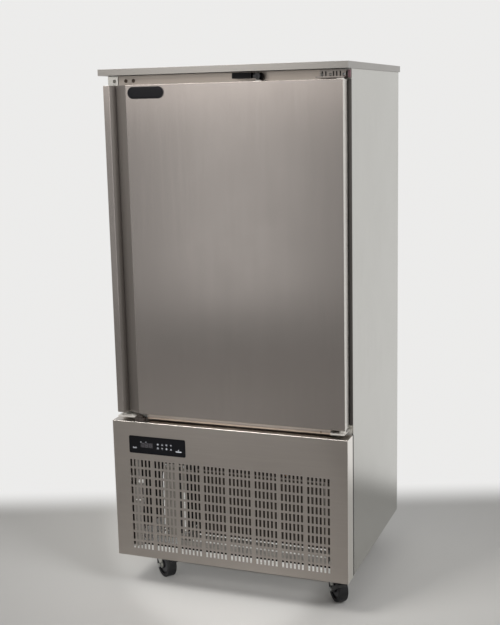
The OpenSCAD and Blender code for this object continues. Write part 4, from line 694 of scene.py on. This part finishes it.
# ------------------------------------------------------------------ stage: floor, lamps, camera
def make_floor():
    """A wide pale floor that runs out into the background, without an edge behind the cabinet."""
    bm = bmesh.new()
    bmesh.ops.create_circle(bm, cap_ends=True, radius=30.0, segments=96)
    mesh = bpy.data.meshes.new("studio_floor")
    bm.to_mesh(mesh)
    bm.free()
    floor = bpy.data.objects.new("studio_floor", mesh)
    bpy.context.scene.collection.objects.link(floor)
    return floor


BACK_LEVEL, FRONT_LEVEL, SKY_LEVEL, FILL_LEVEL = 0.84, 0.30, 0.86, 0.42
FLOOR_COLOUR, FLOOR_FLECK = linear("#C0BFBD"), linear("#C9C8C6")
STUDIO_WHITE = (1.0, 0.995, 0.985, 1.0)
# The camera that the photograph was taken with, solved from its straight edges: turns in radians.
YAW, PITCH, ROLL = 0.3627, 0.1887, -0.0224
CAMERA_AT, LENS_MM, SENSOR_MM = (1.263, -3.4231, 1.599), 62.69, 36.0


def surroundings_level(tree, y, z):
    """Brightness seen in a direction: pale behind the cabinet, dimmer in front, lighter above."""
    facing = add(tree, "ShaderNodeMapRange", {"Value": y, "From Min": -0.9, "From Max": 0.1, "To Min": FRONT_LEVEL,
                                              "To Max": BACK_LEVEL}, interpolation_type="SMOOTHSTEP").outputs[0]
    above = add(tree, "ShaderNodeMapRange", {"Value": z, "From Min": 0.0, "From Max": 0.42},
                interpolation_type="SMOOTHSTEP").outputs[0]
    return add(tree, "ShaderNodeMix", {0: above, 2: facing, 3: SKY_LEVEL}).outputs[0]


def seen_directly(tree):
    """1 for rays from the camera or by way of metal and glass, 0 for light that falls on matt surfaces."""
    path = add(tree, "ShaderNodeLightPath")
    first = add(tree, "ShaderNodeMath", {0: path.outputs["Is Camera Ray"], 1: path.outputs["Is Glossy Ray"]},
                operation="MAXIMUM").outputs[0]
    return add(tree, "ShaderNodeMath", {0: first, 1: path.outputs["Is Transmission Ray"]},
               operation="MAXIMUM").outputs[0]


floor = make_floor()
material = bpy.data.materials.new("painted_studio_floor")
material.use_nodes = True
tree = material.node_tree
tree.nodes.clear()
place = add(tree, "ShaderNodeTexCoord").outputs["Object"]
split = add(tree, "ShaderNodeSeparateXYZ", {0: place})
paint = add(tree, "ShaderNodeBsdfPrincipled", {"Base Color": between(tree, spots(tree, place, 300, 4.0), FLOOR_COLOUR,
                                                                     FLOOR_FLECK), "Roughness": 0.85, "IOR": 1.4})
far = add(tree, "ShaderNodeVectorMath", {0: place}, operation="LENGTH").outputs[1]
way = add(tree, "ShaderNodeMath", {0: split.outputs[1], 1: far}, operation="DIVIDE").outputs[0]
glow = add(tree, "ShaderNodeEmission", {"Color": STUDIO_WHITE, "Strength": surroundings_level(tree, way, 0.0)})
round_fade = add(tree, "ShaderNodeMapRange", {"Value": far, "From Min": 3.3, "From Max": 4.2},
                 interpolation_type="SMOOTHSTEP").outputs[0]
# The floor gives way to the background along a line that runs level across the picture behind the cabinet.
depth = add(tree, "ShaderNodeVectorMath", {0: place, 1: (-math.sin(YAW), math.cos(YAW), 0.0)},
            operation="DOT_PRODUCT").outputs[1]
back_fade = add(tree, "ShaderNodeMapRange", {"Value": depth, "From Min": 0.48, "From Max": 0.78},
                interpolation_type="SMOOTHSTEP").outputs[0]
fade = add(tree, "ShaderNodeMath", {0: round_fade, 1: back_fade}, operation="MAXIMUM").outputs[0]
fade = add(tree, "ShaderNodeMath", {0: fade, 1: seen_directly(tree)}, operation="MULTIPLY").outputs[0]
both = add(tree, "ShaderNodeMixShader", {0: fade, 1: paint.outputs[0], 2: glow.outputs[0]})
add(tree, "ShaderNodeOutputMaterial", {"Surface": both.outputs[0]})
floor.data.materials.append(material)

world = bpy.data.worlds.new("studio")
world.use_nodes = True
bpy.context.scene.world = world
tree = world.node_tree
tree.nodes.clear()
split = add(tree, "ShaderNodeSeparateXYZ", {0: add(tree, "ShaderNodeTexCoord").outputs["Generated"]})
level = surroundings_level(tree, split.outputs[1], split.outputs[2])
strength = add(tree, "ShaderNodeMix", {0: seen_directly(tree), 2: FILL_LEVEL, 3: level}).outputs[0]
back = add(tree, "ShaderNodeBackground", {"Color": STUDIO_WHITE, "Strength": strength})
add(tree, "ShaderNodeOutputWorld", {"Surface": back.outputs[0]})


def softbox(name, at, aim, size, watts, colour="#FFFFFF", high=None, beam_deg=180.0):
    """A diffused panel lamp aimed at a point; beam_deg narrows it, as a grid over the cloth does."""
    lamp = bpy.data.lights.new(name, "AREA")
    lamp.energy, lamp.size, lamp.color, lamp.spread = watts, size, linear(colour)[:3], math.radians(beam_deg)
    if high:
        lamp.shape, lamp.size_y = "RECTANGLE", high
    made = bpy.data.objects.new(name, lamp)
    bpy.context.scene.collection.objects.link(made)
    made.location = at
    made.rotation_euler = (Vector(aim) - Vector(at)).to_track_quat("-Z", "Y").to_euler()
    made.visible_camera = False


softbox("key_softbox", (-1.1, -1.6, 3.3), (0, 0.1, 1.0), 1.4, 9.5, "#FFFDF9", beam_deg=60)
softbox("fill_softbox", (2.3, -1.1, 2.7), (0.1, 0.1, 0.9), 1.4, 7, beam_deg=60)
softbox("front_panel", (-1.38, -3.95, 1.12), (-1.38, 0, 1.12), 1.0, 5.0, high=1.75)
softbox("front_panel_upper", (-1.5, -3.95, 2.42), (-1.2, 0, 1.9), 2.1, 10.4, "#FFF9F5", high=1.56)
softbox("floor_wash", (-0.9, -2.2, 3.0), (-0.9, -2.2, 0), 0.8, 1.6, beam_deg=40)
# A small lamp beside the camera that shines in through the slots, as a flash does. From anywhere else its
# light would fall on the sheet behind the webs and not on what the camera sees.
flash = bpy.data.lights.new("slot_lamp", "SPOT")
flash.energy, flash.spot_size, flash.spot_blend, flash.shadow_soft_size = 300, math.radians(13.5), 0.4, 0.02
flash_stand = bpy.data.objects.new("slot_lamp", flash)
bpy.context.scene.collection.objects.link(flash_stand)
flash_stand.location = (1.262, -3.424, 1.63)
flash_stand.rotation_euler = (Vector((0.0, -0.34, 0.29)) - flash_stand.location).to_track_quat("-Z", "Y").to_euler()

camera = bpy.data.objects.new("camera", bpy.data.cameras.new("camera"))
bpy.context.scene.collection.objects.link(camera)
right0, ahead0 = Vector((math.cos(YAW), math.sin(YAW), 0)), Vector((-math.sin(YAW), math.cos(YAW), 0))
ahead = math.cos(PITCH) * ahead0 - math.sin(PITCH) * Vector((0, 0, 1))
up0 = math.sin(PITCH) * ahead0 + math.cos(PITCH) * Vector((0, 0, 1))
right = math.cos(ROLL) * right0 + math.sin(ROLL) * up0
up = -math.sin(ROLL) * right0 + math.cos(ROLL) * up0
turn = Matrix((right, up, -ahead)).transposed().to_4x4()
camera.matrix_world = Matrix.Translation(CAMERA_AT) @ turn
camera.data.sensor_width, camera.data.lens = SENSOR_MM, LENS_MM
camera.data.clip_start, camera.data.clip_end = 0.05, 100.0
bpy.context.scene.camera = camera
bpy.context.scene.view_settings.view_transform = "Standard"
